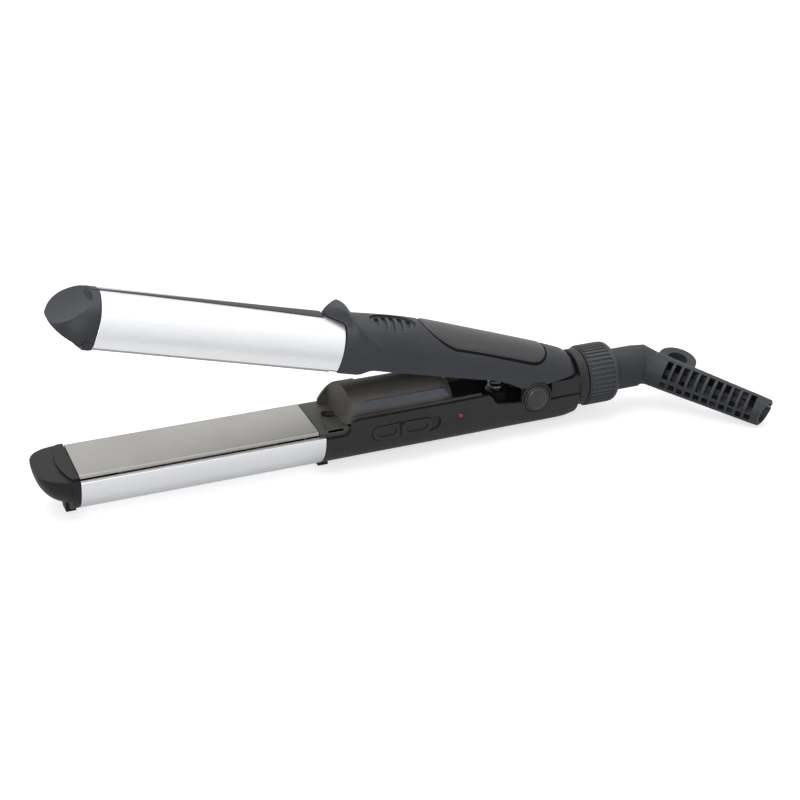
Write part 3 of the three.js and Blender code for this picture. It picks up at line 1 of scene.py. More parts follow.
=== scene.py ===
# Looks for the mini straightening and curling iron.
# Pieces are drawn in the lower arm's frame: x from the plate's front edge towards the tail, z up from the
# plane where the closed plates meet. They are then put in place, and the upper arm's are swung open.

import json
import math

import bmesh
import bpy
from mathutils import Matrix, Vector


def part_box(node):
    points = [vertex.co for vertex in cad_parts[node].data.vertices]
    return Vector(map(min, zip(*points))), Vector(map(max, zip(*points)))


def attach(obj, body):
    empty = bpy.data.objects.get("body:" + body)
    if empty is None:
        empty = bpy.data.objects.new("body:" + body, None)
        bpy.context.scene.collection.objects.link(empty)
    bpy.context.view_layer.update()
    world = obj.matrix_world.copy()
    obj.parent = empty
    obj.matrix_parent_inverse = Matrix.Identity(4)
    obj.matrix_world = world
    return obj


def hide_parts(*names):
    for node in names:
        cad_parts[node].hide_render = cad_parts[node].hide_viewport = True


bl_info = {
    "name": "Mini flat iron looks",
    "version": (1, 0, 0),
    "blender": (4, 5, 0),
    "location": "View3D > Sidebar > Iron",
    "description": "Builds the visible pieces, finishes and studio of a mini flat iron around its frame",
    "category": "Object",
}

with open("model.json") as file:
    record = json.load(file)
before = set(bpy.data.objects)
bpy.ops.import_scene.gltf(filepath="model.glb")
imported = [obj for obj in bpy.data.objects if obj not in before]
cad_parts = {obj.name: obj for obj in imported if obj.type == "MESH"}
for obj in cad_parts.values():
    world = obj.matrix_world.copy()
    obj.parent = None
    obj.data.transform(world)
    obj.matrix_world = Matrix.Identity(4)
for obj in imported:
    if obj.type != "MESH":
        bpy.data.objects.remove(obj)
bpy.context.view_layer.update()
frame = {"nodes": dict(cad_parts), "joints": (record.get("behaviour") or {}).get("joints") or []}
mm = 0.001

# Sizes read from the frame

PLATE_LOW, PLATE_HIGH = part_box("lower_plate")
SHELL_LOW, SHELL_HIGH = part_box("lower_barrel_shell")
ORIGIN = Vector((PLATE_LOW.x, 0, PLATE_HIGH.z))
PLATE_LENGTH = PLATE_HIGH.x - PLATE_LOW.x
PLATE_HALF_WIDTH = PLATE_HIGH.y
PLATE_THICKNESS = PLATE_HIGH.z - PLATE_LOW.z
BARREL_RADIUS = SHELL_HIGH.y
BARREL_END = SHELL_HIGH.x - ORIGIN.x
BARREL_DROP = ORIGIN.z - SHELL_LOW.z - BARREL_RADIUS
LIP_DROP = ORIGIN.z - SHELL_HIGH.z
BASE_Z = -ORIGIN.z
NOSE_LENGTH = ORIGIN.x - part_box("lower_nose_cap")[0].x
HANDLE_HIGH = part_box("lower_handle_shell")[1]
JOINTS = {joint["name"]: joint for joint in frame["joints"]}
HINGE = Vector(JOINTS["arm_hinge"]["pos_m"]) - ORIGIN
RING_LOW, RING_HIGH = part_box("lock_ring")
RING_RADIUS = RING_HIGH.y
RING_X = RING_LOW.x - ORIGIN.x
RING_END = RING_HIGH.x - ORIGIN.x
TAIL_Z = JOINTS["ring_twist"]["pos_m"][2] - ORIGIN.z

# Sizes that the frame doesn't give

SEAM = 0.3 * mm
HANDLE_X = BARREL_END + SEAM
HANDLE_LENGTH = HANDLE_HIGH.x - ORIGIN.x - HANDLE_X
OPENING = math.radians(15.4)
BARREL_WALL = 1.2 * mm
NOSE_INSET = 0.3 * mm
NOSE_FACE_DROP = 1.2 * mm
NOSE_RIM_LENGTH = 2.8 * mm
PAD_REACH = 5.6 * mm
PAD_DROP = 0.2 * mm
LOWER_NOSE = {
    "reach": NOSE_LENGTH - 0.5 * mm, "step": 3.3 * mm, "face_fall": -0.8 * mm, "rim_drop": NOSE_FACE_DROP,
    "bluntness": 1.0, "width_curve": 0.625, "depth_curve": 1.0, "fall_curve": 1.0, "squareness": 0.93,
    "facet_ahead": 10 * mm, "facet_below_crest": 8.4 * mm, "facet_tilt": math.radians(36),
    "facet_radius": 39 * mm, "facet_hollow": 0.5 * mm,
}
UPPER_NOSE = {
    "reach": NOSE_LENGTH - 0.75 * mm, "step": 0.85 * mm, "face_fall": 4.06 * mm, "rim_drop": 3.6 * mm,
    "bluntness": 0.67, "width_curve": 0.82, "depth_curve": 0.49, "fall_curve": 1.3, "squareness": 0.77,
    "facet_ahead": 8.3 * mm, "facet_below_crest": 6.35 * mm, "facet_tilt": math.radians(43.5),
    "facet_radius": 55 * mm, "facet_hollow": 1.1 * mm,
}
FOOT_REACH = 1.5 * mm
FRONT_FOOT_WIDTH = 6 * mm
REAR_FOOT_WIDTH = 8.5 * mm
FRONT_FOOT_LENGTH = 3.7 * mm
REAR_FOOT_LENGTH = 4 * mm
LOWER_WALL = 1.6 * mm
UPPER_WALL = 1.9 * mm
LUG_RADIUS = 6.5 * mm
CAP_RADIUS = 5.3 * mm
CAP_DEPTH = 0.8 * mm
CAP_CROWN = 1.5 * mm
GUARD_HEIGHT = 5 * mm
GUARD_FRONT = 8.1 * mm
GUARD_BACK = 2.8 * mm
GUARD_TOP_BACK = 8 * mm
GUARD_SWEEP = 18 * mm
GUARD_CREST_BEHIND = 0.7 * mm
UPPER_LEAN = 0.17
BARREL_CREST = BARREL_DROP + BARREL_RADIUS
DOME_RADIUS = BARREL_RADIUS - 4.7 * mm
DOME_CENTRE = 1.2 * mm
DOME_LENGTH = 45 * mm
DECK_X = PLATE_LENGTH + SEAM
DECK_LENGTH = 12.7 * mm
DOME_X = DECK_X + DECK_LENGTH - 2 * mm
DOME_END = DOME_X + DOME_LENGTH
CHEEK_WALL = 0.9 * mm
CHEEK_AHEAD = 3.5 * mm
LIP_HEIGHT = 3.2 * mm
LIP_WALL = 0.7 * mm
DECK_DROP = 0.3 * mm
DECK_THICKNESS = 2.9 * mm
SCREW_HEAD_RADIUS = 2.7 * mm
LOWER_SCREW_X = DECK_X + 8 * mm
SWITCH_X = HANDLE_X + 32.4 * mm
SWITCH_DROP = 4.4 * mm
RECESS_LENGTH = 28.5 * mm
RECESS_HEIGHT = 6.4 * mm
RECESS_DEPTH = 1.3 * mm
SLIDER_THICKNESS = 1.2 * mm
SLIDER_POCKET = 0.6 * mm
SLIDER_LENGTH = 24.4 * mm
SLIDER_X = SWITCH_X - (RECESS_LENGTH - SLIDER_LENGTH) / 2 + SEAM
LED_X = HANDLE_X + 55.1 * mm
LED_DROP = 3.7 * mm
LED_RADIUS = 1.5 * mm
LED_WINDOW = 1.1 * mm
VENT_X = HANDLE_X + 22.5 * mm
VENT_ASIDE = -2.6 * mm
VENT_LENGTH = 19 * mm
VENT_WIDTH = 11 * mm
VENT_PITCH = 3.3 * mm
VENT_SLOT = 1.9 * mm
INLAY_START = HANDLE_X + 35.2 * mm
INLAY_END = HANDLE_X + 90.2 * mm
INLAY_HALF_WIDTH = 10.2 * mm
INLAY_DEPTH = 0.9 * mm
INLAY_PROUD = 0.3 * mm
INLAY_GROOVE = 0.75 * mm
COLLAR_X = HANDLE_X + HANDLE_LENGTH + SEAM
COLLAR_RADIUS = 11.3 * mm
COLLAR_LENGTH = 4 * mm
SPIGOT_RADIUS = 8.6 * mm
STEM_RADIUS = 5.9 * mm
BOOT_X = RING_END + SEAM
NECK_RADIUS = 8.4 * mm
NECK_LENGTH = 18.4 * mm
NECK_FLANGE_RADIUS = 9.3 * mm
NECK_FLANGE_LENGTH = 4.2 * mm
RING_SKIRT = 2.6 * mm
BOOT_BEND = math.radians(47.5)
BOOT_SWING = math.radians(16)
BOOT_LENGTH = 52.5 * mm
BOOT_START_RADIUS = 7.2 * mm
BOOT_END_RADIUS = 5.9 * mm
CORD_BORE_RADIUS = 2.9 * mm
WINDOW_PITCH = 3.55 * mm
WINDOW_SLOT = 2.4 * mm
WINDOW_START = 11.6 * mm
LOOP_ALONG = 11.8 * mm
LOOP_REACH = 18.6 * mm
LOOP_LENGTH = 15.6 * mm
LOOP_THICKNESS = 5 * mm
LOOP_TILT = math.radians(-8)
BOOT_SLANT = 1.4 * mm
LOOP_BAND = 3.8 * mm
YOKE_X = HINGE.x + 7 * mm
SPRING_X = HINGE.x - 12 * mm
UPPER_LENGTH = HANDLE_LENGTH - 2.8 * mm
SQUARENESS = 2 / 2.2

LOWER_ARM = Matrix.Translation(ORIGIN)
SWING_OPEN = Matrix.Translation(HINGE) @ Matrix.Rotation(OPENING, 4, "Y") @ Matrix.Translation(-HINGE)
UPPER_ARM = LOWER_ARM @ SWING_OPEN
UPPER_MIRROR = UPPER_ARM @ Matrix.Scale(-1, 4, (0, 0, 1))
LEAN = Matrix(((1, 0, UPPER_LEAN, -UPPER_LEAN * LIP_DROP), (0, 1, 0, 0), (0, 0, 1, 0), (0, 0, 0, 1)))
UPPER_LEANED = UPPER_ARM @ LEAN @ Matrix.Scale(-1, 4, (0, 0, 1))
ELBOW = Vector((BOOT_X + NECK_LENGTH, 0, TAIL_Z))
BOOT_PLACE = LOWER_ARM @ Matrix.Translation(ELBOW) @ Matrix.Rotation(BOOT_SWING, 4, "X")


# Curves and forms

def arc(u, v, radius, start, stop, steps, radius_v=None):
    points = []
    for i in range(steps + 1):
        angle = math.radians(start + (stop - start) * i / steps)
        points.append((u + radius * math.cos(angle), v + (radius_v or radius) * math.sin(angle)))
    return points


def bezier(start, first, second, stop, steps=16):
    points = []
    for i in range(steps + 1):
        t = i / steps
        weights = ((1 - t) ** 3, 3 * t * (1 - t) ** 2, 3 * t * t * (1 - t), t ** 3)
        pulled = list(zip(weights, (start, first, second, stop)))
        points.append(tuple(sum(weight * point[k] for weight, point in pulled) for k in (0, 1)))
    return points


def spread(start, stop, count):
    return [start + (stop - start) * i / count for i in range(count + 1)]


def clamped(value, low=0.0, high=1.0):
    return max(low, min(high, value))


def mixed(start, stop, share):
    return start + (stop - start) * share


def along(stations, share):
    """A smooth value through a few (share, value) stations."""
    if share <= stations[0][0]:
        return stations[0][1]
    if share >= stations[-1][0]:
        return stations[-1][1]
    i = max(k for k, (station, _) in enumerate(stations) if station <= share)
    before, after = max(i - 1, 0), min(i + 2, len(stations) - 1)

    def slope(a, b):
        return (stations[b][1] - stations[a][1]) / (stations[b][0] - stations[a][0])

    (x0, v0), (x1, v1) = stations[i], stations[i + 1]
    span = x1 - x0
    m0, m1 = slope(before, i + 1) * span, slope(i, after) * span
    t = (share - x0) / span
    return ((2 * t ** 3 - 3 * t ** 2 + 1) * v0 + (t ** 3 - 2 * t ** 2 + t) * m0
            + (3 * t ** 2 - 2 * t ** 3) * v1 + (t ** 3 - t ** 2) * m1)


def handle_share(x):
    return (x - HANDLE_X) / HANDLE_LENGTH


def at_share(share):
    return HANDLE_X + share * HANDLE_LENGTH


class Form:
    """A handle's outside: shares of the barrel's radius at shares of the handle's length."""

    def __init__(self, half_width, reach, centre):
        self.half_stations = half_width
        self.reach_stations = reach
        self.centre = centre

    def half(self, x, out=0.0):
        return BARREL_RADIUS * along(self.half_stations, handle_share(x)) + out

    def reach(self, x, out=0.0):
        return BARREL_RADIUS * along(self.reach_stations, handle_share(x)) + out

    def point(self, x, turn, out=0.0):
        """A point at a turn round the section. 0 and pi are its sides, and the skirt goes down past them."""
        half = self.half(x, out)
        over = max(-turn, turn - math.pi, 0.0)
        if over > 0:
            return Vector((x, half if turn < 0 else -half, self.centre - over * half))
        c, s = math.cos(turn), math.sin(turn)
        y = math.copysign(abs(c) ** SQUARENESS, c) * half
        return Vector((x, y, self.centre + max(s, 0.0) ** SQUARENESS * self.reach(x, out)))

    def edge_turn(self, x, edge, out=0.0):
        rise = edge - self.centre
        if rise <= 0:
            return rise / self.half(x, out)
        return math.asin(min((rise / self.reach(x, out)) ** (1 / SQUARENESS), 1.0))

    def row(self, x, edge, columns, out=0.0):
        first = self.edge_turn(x, edge, out)
        return [self.point(x, turn, out) for turn in spread(first, math.pi - first, columns)]

    def top(self, x, y, out=0.0):
        inside = clamped(1 - (abs(y) / self.half(x, out)) ** (2 / SQUARENESS))
        return self.centre + self.reach(x, out) * inside ** (SQUARENESS / 2)


LOWER_FORM = Form(
    [(0, 0.973), (0.111, 0.947), (0.529, 0.887), (0.743, 0.807), (0.864, 0.767), (1, 0.747)],
    [(0, 0.98), (0.529, 0.993), (0.743, 1.007), (0.956, 1.013), (1, 0.94)],
    BARREL_DROP,
)
UPPER_FORM = Form(
    [(0, 0.973), (0.232, 0.953), (0.529, 0.887), (0.743, 0.793), (0.91, 0.733), (0.947, 0.713),
     (0.974, 0.66)],
    [(0, 1.08), (0.223, 1.16), (0.353, 1.147), (0.529, 1.053), (0.743, 0.933), (0.91, 0.82), (0.947, 0.747),
     (0.974, 0.547)],
    2 * mm,
)
SIDE_AT_SWITCH = LOWER_FORM.half(SWITCH_X)
SIDE_AT_LED = LOWER_FORM.half(LED_X)
SIDE_AT_HINGE = LOWER_FORM.half(HINGE.x)


# Mesh helpers

def mesh_of(points_to_verts):
    bm = bmesh.new()
    points_to_verts(bm)
    bmesh.ops.recalc_face_normals(bm, faces=bm.faces)
    return bm


def strips(bm, rows, around=False):
    """Faces between rows of vertices. A row of one vertex is a pole."""
    for a, b in zip(rows, rows[1:]):
        count = max(len(a), len(b))
        for i in range(count if around else count - 1):
            j = (i + 1) % count
            corners = [a[i % len(a)], a[j % len(a)], b[j % len(b)], b[i % len(b)]]
            corners = list(dict.fromkeys(corners))
            if len(corners) > 2:
                bm.faces.new(corners)


def prism(axis, outline, low, high):
    """An outline drawn across an axis, standing from low to high along it."""
    orders = {
        "X": lambda u, v, w: (w, u, v),
        "Y": lambda u, v, w: (u, w, v),
        "Z": lambda u, v, w: (u, v, w),
    }

    def build(bm):
        rows = [[bm.verts.new(orders[axis](u, v, w)) for u, v in outline] for w in (low, high)]
        strips(bm, rows, around=True)
        bm.faces.new(rows[0])
        bm.faces.new(rows[1])
    return mesh_of(build)


def block(x0, x1, y0, y1, z0, z1):
    return prism("X", [(y0, z0), (y1, z0), (y1, z1), (y0, z1)], x0, x1)


def turned(profile, centre, axis, steps=96, ring=False):
    """A profile of (along, radius) turned round an axis through the centre."""
    def build(bm):
        rows = []
        for distance, radius in profile:
            count = 1 if radius < 1e-6 else steps
            row = []
            for i in range(count):
                angle = 2 * math.pi * i / steps
                u, v = radius * math.cos(angle), radius * math.sin(angle)
                offset = {"X": (distance, u, v), "Y": (u, distance, v), "Z": (u, v, distance)}[axis]
                row.append(bm.verts.new(Vector(centre) + Vector(offset)))
            rows.append(row)
        if ring:
            rows.append(rows[0])
        strips(bm, rows, around=True)
    return mesh_of(build)


def rod(axis, radius, low, high, centre, steps=64):
    return turned([(low, 0), (low, radius), (high, radius), (high, 0)], centre, axis, steps)


def loft(rings):
    """A closed skin through closed rings of points, with a flat face over each end."""
    def build(bm):
        rows = [[bm.verts.new(point) for point in ring] for ring in rings]
        strips(bm, rows, around=True)
        bm.faces.new(rows[0])
        bm.faces.new(rows[-1])
    return mesh_of(build)


def wall(outer, inner):
    """A closed wall between two open grids of points of the same size."""
    def build(bm):
        out = [[bm.verts.new(point) for point in row] for row in outer]
        back = [[bm.verts.new(point) for point in row] for row in inner]
        strips(bm, out)
        strips(bm, back)
        strips(bm, [out[0], back[0]])
        strips(bm, [out[-1], back[-1]])
        for end in (0, -1):
            strips(bm, [[row[end] for row in out], [row[end] for row in back]])
    return mesh_of(build)


def lowered(grid):
    return [[Vector((p.x, p.y, -p.z)) for p in row] for row in grid]


def together(*parts):
    """Several closed shapes in one mesh."""
    result = bmesh.new()
    for part in parts:
        mesh = bpy.data.meshes.new("part")
        part.to_mesh(mesh)
        part.free()
        result.from_mesh(mesh)
        bpy.data.meshes.remove(mesh)
    return result


def loose(bm, name="part"):
    mesh = bpy.data.meshes.new(name)
    bm.to_mesh(mesh)
    bm.free()
    made = bpy.data.objects.new(name, mesh)
    bpy.context.scene.collection.objects.link(made)
    return made


def settled(obj):
    """The object's mesh with its modifiers worked in."""
    graph = bpy.context.evaluated_depsgraph_get()
    changed = obj.evaluated_get(graph)
    mesh = bpy.data.meshes.new_from_object(changed, preserve_all_data_layers=True, depsgraph=graph)
    obj.modifiers.clear()
    old = obj.data
    obj.data = mesh
    bpy.data.meshes.remove(old)
    return obj


def softened(bm, width, segments=4, sharp=30):
    """A shape whose sharp edges are rounded more than the rest of its piece."""
    subject = loose(bm)
    rounding = subject.modifiers.new("soft", "BEVEL")
    rounding.width = width
    rounding.segments = segments
    rounding.limit_method = "ANGLE"
    rounding.angle_limit = math.radians(sharp)
    settled(subject)
    result = bmesh.new()
    result.from_mesh(subject.data)
    mesh = subject.data
    bpy.data.objects.remove(subject)
    bpy.data.meshes.remove(mesh)
    return result


def carved(base, *steps):
    """The base after (operation, shape) steps, each UNION, DIFFERENCE or INTERSECT."""
    subject = loose(base)
    tools = []
    for operation, shape in steps:
        tool = loose(shape, "tool")
        tools.append(tool)
        change = subject.modifiers.new("carve", "BOOLEAN")
        change.operation = operation
        change.object = tool
        change.solver = "EXACT"
    settled(subject)
    result = bmesh.new()
    result.from_mesh(subject.data)
    for used in [subject, *tools]:
        mesh = used.data
        bpy.data.objects.remove(used)
        bpy.data.meshes.remove(mesh)
    return result


def piece(name, bm, place, body, material, replaces=(), bevel=0.0, segments=2, smooth=38):
    """A finished piece: put in place, edges rounded, shaded, and riding on its body."""
    bm.transform(place)
    if place.determinant() < 0:
        bmesh.ops.reverse_faces(bm, faces=bm.faces)
    bmesh.ops.remove_doubles(bm, verts=bm.verts, dist=0.004 * mm)
    bmesh.ops.dissolve_degenerate(bm, edges=bm.edges, dist=0.002 * mm)
    made = loose(bm, name)
    for face in made.data.polygons:
        face.use_smooth = True
    if bevel:
        rounding = made.modifiers.new("rounded", "BEVEL")
        rounding.width = bevel
        rounding.segments = segments
        rounding.limit_method = "ANGLE"
        rounding.angle_limit = math.radians(smooth)
        rounding.miter_outer = "MITER_ARC"
        settled(made)
    made.data.set_sharp_from_angle(angle=math.radians(smooth))
    weighting = made.modifiers.new("weighted", "WEIGHTED_NORMAL")
    weighting.keep_sharp = True
    weighting.weight = 80
    settled(made)
    made.name = name
    made.data.name = name
    made.data.materials.clear()
    made.data.materials.append(material)
    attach(made, body)
    if replaces:
        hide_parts(*replaces)
    return made


# Shader helpers

def node(tree, kind, settings=None, **inputs):
    made = tree.nodes.new(kind)
    for key, value in (settings or {}).items():
        setattr(made, key, value)
    for key, value in inputs.items():
        plug(tree, made.inputs[key.replace("_", " ")], value)
    return made


def plug(tree, socket, value):
    if isinstance(value, bpy.types.NodeSocket):
        tree.links.new(value, socket)
    else:
        socket.default_value = value


def sums(tree, operation, *values, clamp=False):
    made = node(tree, "ShaderNodeMath", {"operation": operation, "use_clamp": clamp})
    for socket, value in zip(made.inputs, values):
        plug(tree, socket, value)
    return made.outputs[0]


def ranged(tree, value, low, high, to_low=0.0, to_high=1.0):
    made = node(tree, "ShaderNodeMapRange", Value=value, From_Min=low, From_Max=high,
                To_Min=to_low, To_Max=to_high)
    return made.outputs[0]


def tint(tree, share, first, second, blend="MIX"):
    made = tree.nodes.new("ShaderNodeMix")
    made.data_type = "RGBA"
    made.blend_type = blend
    plug(tree, made.inputs["Factor"], share)
    plug(tree, made.inputs[6], first)
    plug(tree, made.inputs[7], second)
    return made.outputs[2]


def shader_group(name, inputs, outputs):
    """An empty group with its sockets, its group input and its group output."""
    tree = bpy.data.node_groups.new(name, "ShaderNodeTree")
    for label, default in inputs:
        kind = "NodeSocketVector" if isinstance(default, tuple) else "NodeSocketFloat"
        socket = tree.interface.new_socket(name=label, in_out="INPUT", socket_type=kind)
        socket.default_value = default
    for label in outputs:
        tree.interface.new_socket(name=label, in_out="OUTPUT", socket_type="NodeSocketFloat")
    return tree, tree.nodes.new("NodeGroupInput").outputs, tree.nodes.new("NodeGroupOutput").inputs


def moulded_grain():
    """Fine spark-eroded texture with slow unevenness, as on moulded plastic."""
    if "Moulded grain" in bpy.data.node_groups:
        return bpy.data.node_groups["Moulded grain"]
    tree, given, result = shader_group(
        "Moulded grain", [("Grain Scale", 3200.0), ("Cloud Scale", 60.0)], ["Height", "Speck", "Cloud"])
    place = node(tree, "ShaderNodeTexCoord").outputs["Object"]
    grain = node(tree, "ShaderNodeTexNoise", Vector=place, Scale=given["Grain Scale"],
                 Detail=3.0, Roughness=0.6)
    pits = node(tree, "ShaderNodeTexVoronoi", Vector=place, Scale=given["Grain Scale"])
    cloud = node(tree, "ShaderNodeTexNoise", Vector=place, Scale=given["Cloud Scale"],
                 Detail=4.0, Roughness=0.55)
    height = sums(tree, "ADD", sums(tree, "MULTIPLY", grain.outputs["Fac"], 0.7),
                  sums(tree, "MULTIPLY", pits.outputs["Distance"], 0.3))
    tree.links.new(height, result["Height"])
    tree.links.new(ranged(tree, grain.outputs["Fac"], 0.35, 0.65), result["Speck"])
    tree.links.new(ranged(tree, cloud.outputs["Fac"], 0.3, 0.7), result["Cloud"])
    return tree


def drawn_metal():
    """Fine streaks along x with slow unevenness, as on drawn or brushed metal."""
    if "Drawn metal" in bpy.data.node_groups:
        return bpy.data.node_groups["Drawn metal"]
    tree, given, result = shader_group(
        "Drawn metal", [("Stretch", (30.0, 4000.0, 4000.0)), ("Cloud Scale", 45.0)], ["Streak", "Cloud"])
    place = node(tree, "ShaderNodeTexCoord").outputs["Object"]
    drawn = node(tree, "ShaderNodeMapping", Vector=place, Scale=given["Stretch"])
    streak = node(tree, "ShaderNodeTexNoise", Vector=drawn.outputs[0], Scale=1.0, Detail=4.0, Roughness=0.65)
    cloud = node(tree, "ShaderNodeTexNoise", Vector=place, Scale=given["Cloud Scale"],
                 Detail=3.0, Roughness=0.5)
    tree.links.new(ranged(tree, streak.outputs["Fac"], 0.3, 0.7), result["Streak"])
    tree.links.new(ranged(tree, cloud.outputs["Fac"], 0.3, 0.7), result["Cloud"])
    return tree


def grouped(tree, group, **inputs):
    made = tree.nodes.new("ShaderNodeGroup")
    made.node_tree = group
    for key, value in inputs.items():
        plug(tree, made.inputs[key.replace("_", " ")], value)
    return made.outputs


def new_material(name):
    material = bpy.data.materials.new(name)
    material.use_nodes = True
    tree = material.node_tree
    return material, tree, tree.nodes["Principled BSDF"]


def scaled_colour(colour, factor):
    return (colour[0] * factor, colour[1] * factor, colour[2] * factor, 1.0)


def grey(value):
    return scaled_colour((1, 1, 1), value)


def plastic(name, colour, roughness, grain=3200.0, relief=0.012, contrast=0.1, coat=0.0, gloss=0.35):
    """Moulded plastic or rubber: a grained, slightly uneven single colour."""
    if name in bpy.data.materials:
        return bpy.data.materials[name]
    material, tree, shader = new_material(name)
    pattern = grouped(tree, moulded_grain(), Grain_Scale=grain)
    darker, lighter = 1 - contrast, 1 + contrast
    slow = tint(tree, pattern["Cloud"], scaled_colour(colour, darker), scaled_colour(colour, lighter))
    fine = tint(tree, pattern["Speck"], grey(darker), grey(lighter))
    plug(tree, shader.inputs["Base Color"], tint(tree, 1.0, slow, fine, "MULTIPLY"))
    uneven = ranged(tree, pattern["Cloud"], 0, 1, roughness - 0.04, roughness + 0.05)
    plug(tree, shader.inputs["Roughness"], uneven)
    bump = node(tree, "ShaderNodeBump", Strength=0.5, Distance=relief * mm, Height=pattern["Height"])
    plug(tree, shader.inputs["Normal"], bump.outputs[0])
    shader.inputs["Specular IOR Level"].default_value = gloss
    shader.inputs["Coat Weight"].default_value = coat
    shader.inputs["Coat Roughness"].default_value = 0.2
    return material


def metal(name, colour, roughness, stretch, relief=0.002, contrast=0.05):
    """Drawn or brushed metal with faint streaks."""
    if name in bpy.data.materials:
        return bpy.data.materials[name]
    material, tree, shader = new_material(name)
    pattern = grouped(tree, drawn_metal(), Stretch=stretch)
    darker = 1 - contrast
    slow = tint(tree, pattern["Cloud"], scaled_colour(colour, darker), scaled_colour(colour, 1.0))
    fine = tint(tree, pattern["Streak"], grey(darker), grey(1.0))
    plug(tree, shader.inputs["Base Color"], tint(tree, 1.0, slow, fine, "MULTIPLY"))
    shader.inputs["Metallic"].default_value = 1.0
    uneven = ranged(tree, pattern["Streak"], 0, 1, roughness - 0.03, roughness + 0.05)
    plug(tree, shader.inputs["Roughness"], uneven)
    bump = node(tree, "ShaderNodeBump", Strength=0.4, Distance=relief * mm, Height=pattern["Streak"])
    plug(tree, shader.inputs["Normal"], bump.outputs[0])
    return material


def rgb(value):
    return (value[0], value[1], value[2])


# Settings that a user would change

class IronFinish(bpy.types.PropertyGroup):
    upper_plastic: bpy.props.FloatVectorProperty(
        name="Upper arm plastic", description="Colour of the upper arm's black plastic",
        subtype="COLOR", size=3, min=0, max=1, default=(0.028, 0.03, 0.0355))
    lower_plastic: bpy.props.FloatVectorProperty(
        name="Lower arm plastic", description="Colour of the lower arm's black plastic",
        subtype="COLOR", size=3, min=0, max=1, default=(0.0165, 0.0168, 0.0175))
    inner_plastic: bpy.props.FloatVectorProperty(
        name="Inner cover plastic", description="Colour of the warm grey covers between the handles",
        subtype="COLOR", size=3, min=0, max=1, default=(0.075, 0.072, 0.066))
    inlay: bpy.props.FloatVectorProperty(
        name="Grip inlay", description="Colour of the glossier inlay on top of the handle",
        subtype="COLOR", size=3, min=0, max=1, default=(0.05, 0.0505, 0.053))
    barrel: bpy.props.FloatVectorProperty(
        name="Barrel metal", description="Colour of the polished half-round barrels",
        subtype="COLOR", size=3, min=0, max=1, default=(0.86, 0.87, 0.89))
    plate: bpy.props.FloatVectorProperty(
        name="Plate coating", description="Colour of the satin heating plates",
        subtype="COLOR", size=3, min=0, max=1, default=(0.42, 0.41, 0.39))
    lamp: bpy.props.FloatVectorProperty(
        name="Indicator", description="Colour of the red indicator lens",
        subtype="COLOR", size=3, min=0, max=1, default=(0.2, 0.004, 0.013))
    satin: bpy.props.FloatProperty(
        name="Plastic roughness", description="Roughness of the black plastics",
        subtype="FACTOR", min=0.05, max=1, default=0.42)


class IronShape(bpy.types.PropertyGroup):
    edge: bpy.props.FloatProperty(
        name="Edge rounding", description="Radius on the edges of the moulded pieces",
        unit="LENGTH", min=0.05 * mm, max=0.6 * mm, default=0.25 * mm)
    ribs: bpy.props.IntProperty(
        name="Ring ribs", description="Number of ribs round the twist ring", min=12, max=72, default=40)
    vents: bpy.props.IntProperty(
        name="Vent slots", description="Number of slots in the handle's vent", min=1, max=7, default=5)
    windows: bpy.props.IntProperty(
        name="Boot windows", description="Number of strain-relief windows in each row",
        min=3, max=11, default=11)


class IronStudio(bpy.types.PropertyGroup):
    lens: bpy.props.FloatProperty(
        name="Lens", description="Camera's focal length in millimetres", min=20, max=200, default=76.5)
    key: bpy.props.FloatProperty(
        name="Overhead light", description="Power of the large overhead softbox",
        unit="POWER", min=0, default=6.2)
    fill: bpy.props.FloatProperty(
        name="Side light", description="Power of the softbox on the switch's side",
        unit="POWER", min=0, default=3.4)
    ambient: bpy.props.FloatProperty(
        name="Room light", description="Strength of the even light from the room", min=0, max=2, default=0.5)


def finish():
    return bpy.context.scene.iron_finish


def shape():
    return bpy.context.scene.iron_shape


def studio():
    return bpy.context.scene.iron_studio


def upper_plastic():
    return plastic("Satin black plastic, upper", rgb(finish().upper_plastic), finish().satin, gloss=0.38)


def lower_plastic():
    return plastic("Satin black plastic, lower", rgb(finish().lower_plastic), finish().satin, gloss=0.32)


def nose_plastic(arm):
    if arm == "upper":
        return plastic("Satin nose plastic, upper", rgb(finish().upper_plastic), finish().satin, gloss=0.3)
    return plastic("Satin nose plastic, lower", rgb(finish().lower_plastic), finish().satin, gloss=0.18)


def inner_plastic():
    return plastic("Warm black plastic", rgb(finish().inner_plastic), finish().satin + 0.1, gloss=0.45)


def barrel_metal():
    return metal("Polished aluminium", rgb(finish().barrel), 0.3, (12.0, 900.0, 900.0), 0.0004, 0.012)


def plate_coating():
    return metal("Satin coated plate", rgb(finish().plate), 0.42, (25.0, 1500.0, 1500.0), contrast=0.07)


def bar_plastic():
    return plastic("Satin bar plastic", scaled_colour(finish().upper_plastic, 2.7)[:3], 0.36)


def black_steel():
    return metal("Blackened steel", (0.16, 0.16, 0.16), 0.3, (400.0, 3000.0, 3000.0))


def steel():
    return metal("Bright steel", (0.62, 0.62, 0.63), 0.25, (400.0, 3000.0, 3000.0))


# Pieces that both arms share

def barrel_shell_shape():
    inner = BARREL_RADIUS - BARREL_WALL
    lip = PLATE_HALF_WIDTH + SEAM
    outline = [(-BARREL_RADIUS, -LIP_DROP)]
    outline += arc(0, -BARREL_DROP, BARREL_RADIUS, 180, 360, 120)
    outline += [(BARREL_RADIUS, -LIP_DROP), (lip, -LIP_DROP), (lip, -BARREL_DROP)]
    outline += arc(0, -BARREL_DROP, inner, 0, -180, 80)
    outline += [(-lip, -BARREL_DROP), (-lip, -LIP_DROP)]
    return prism("X", outline, 0, BARREL_END)


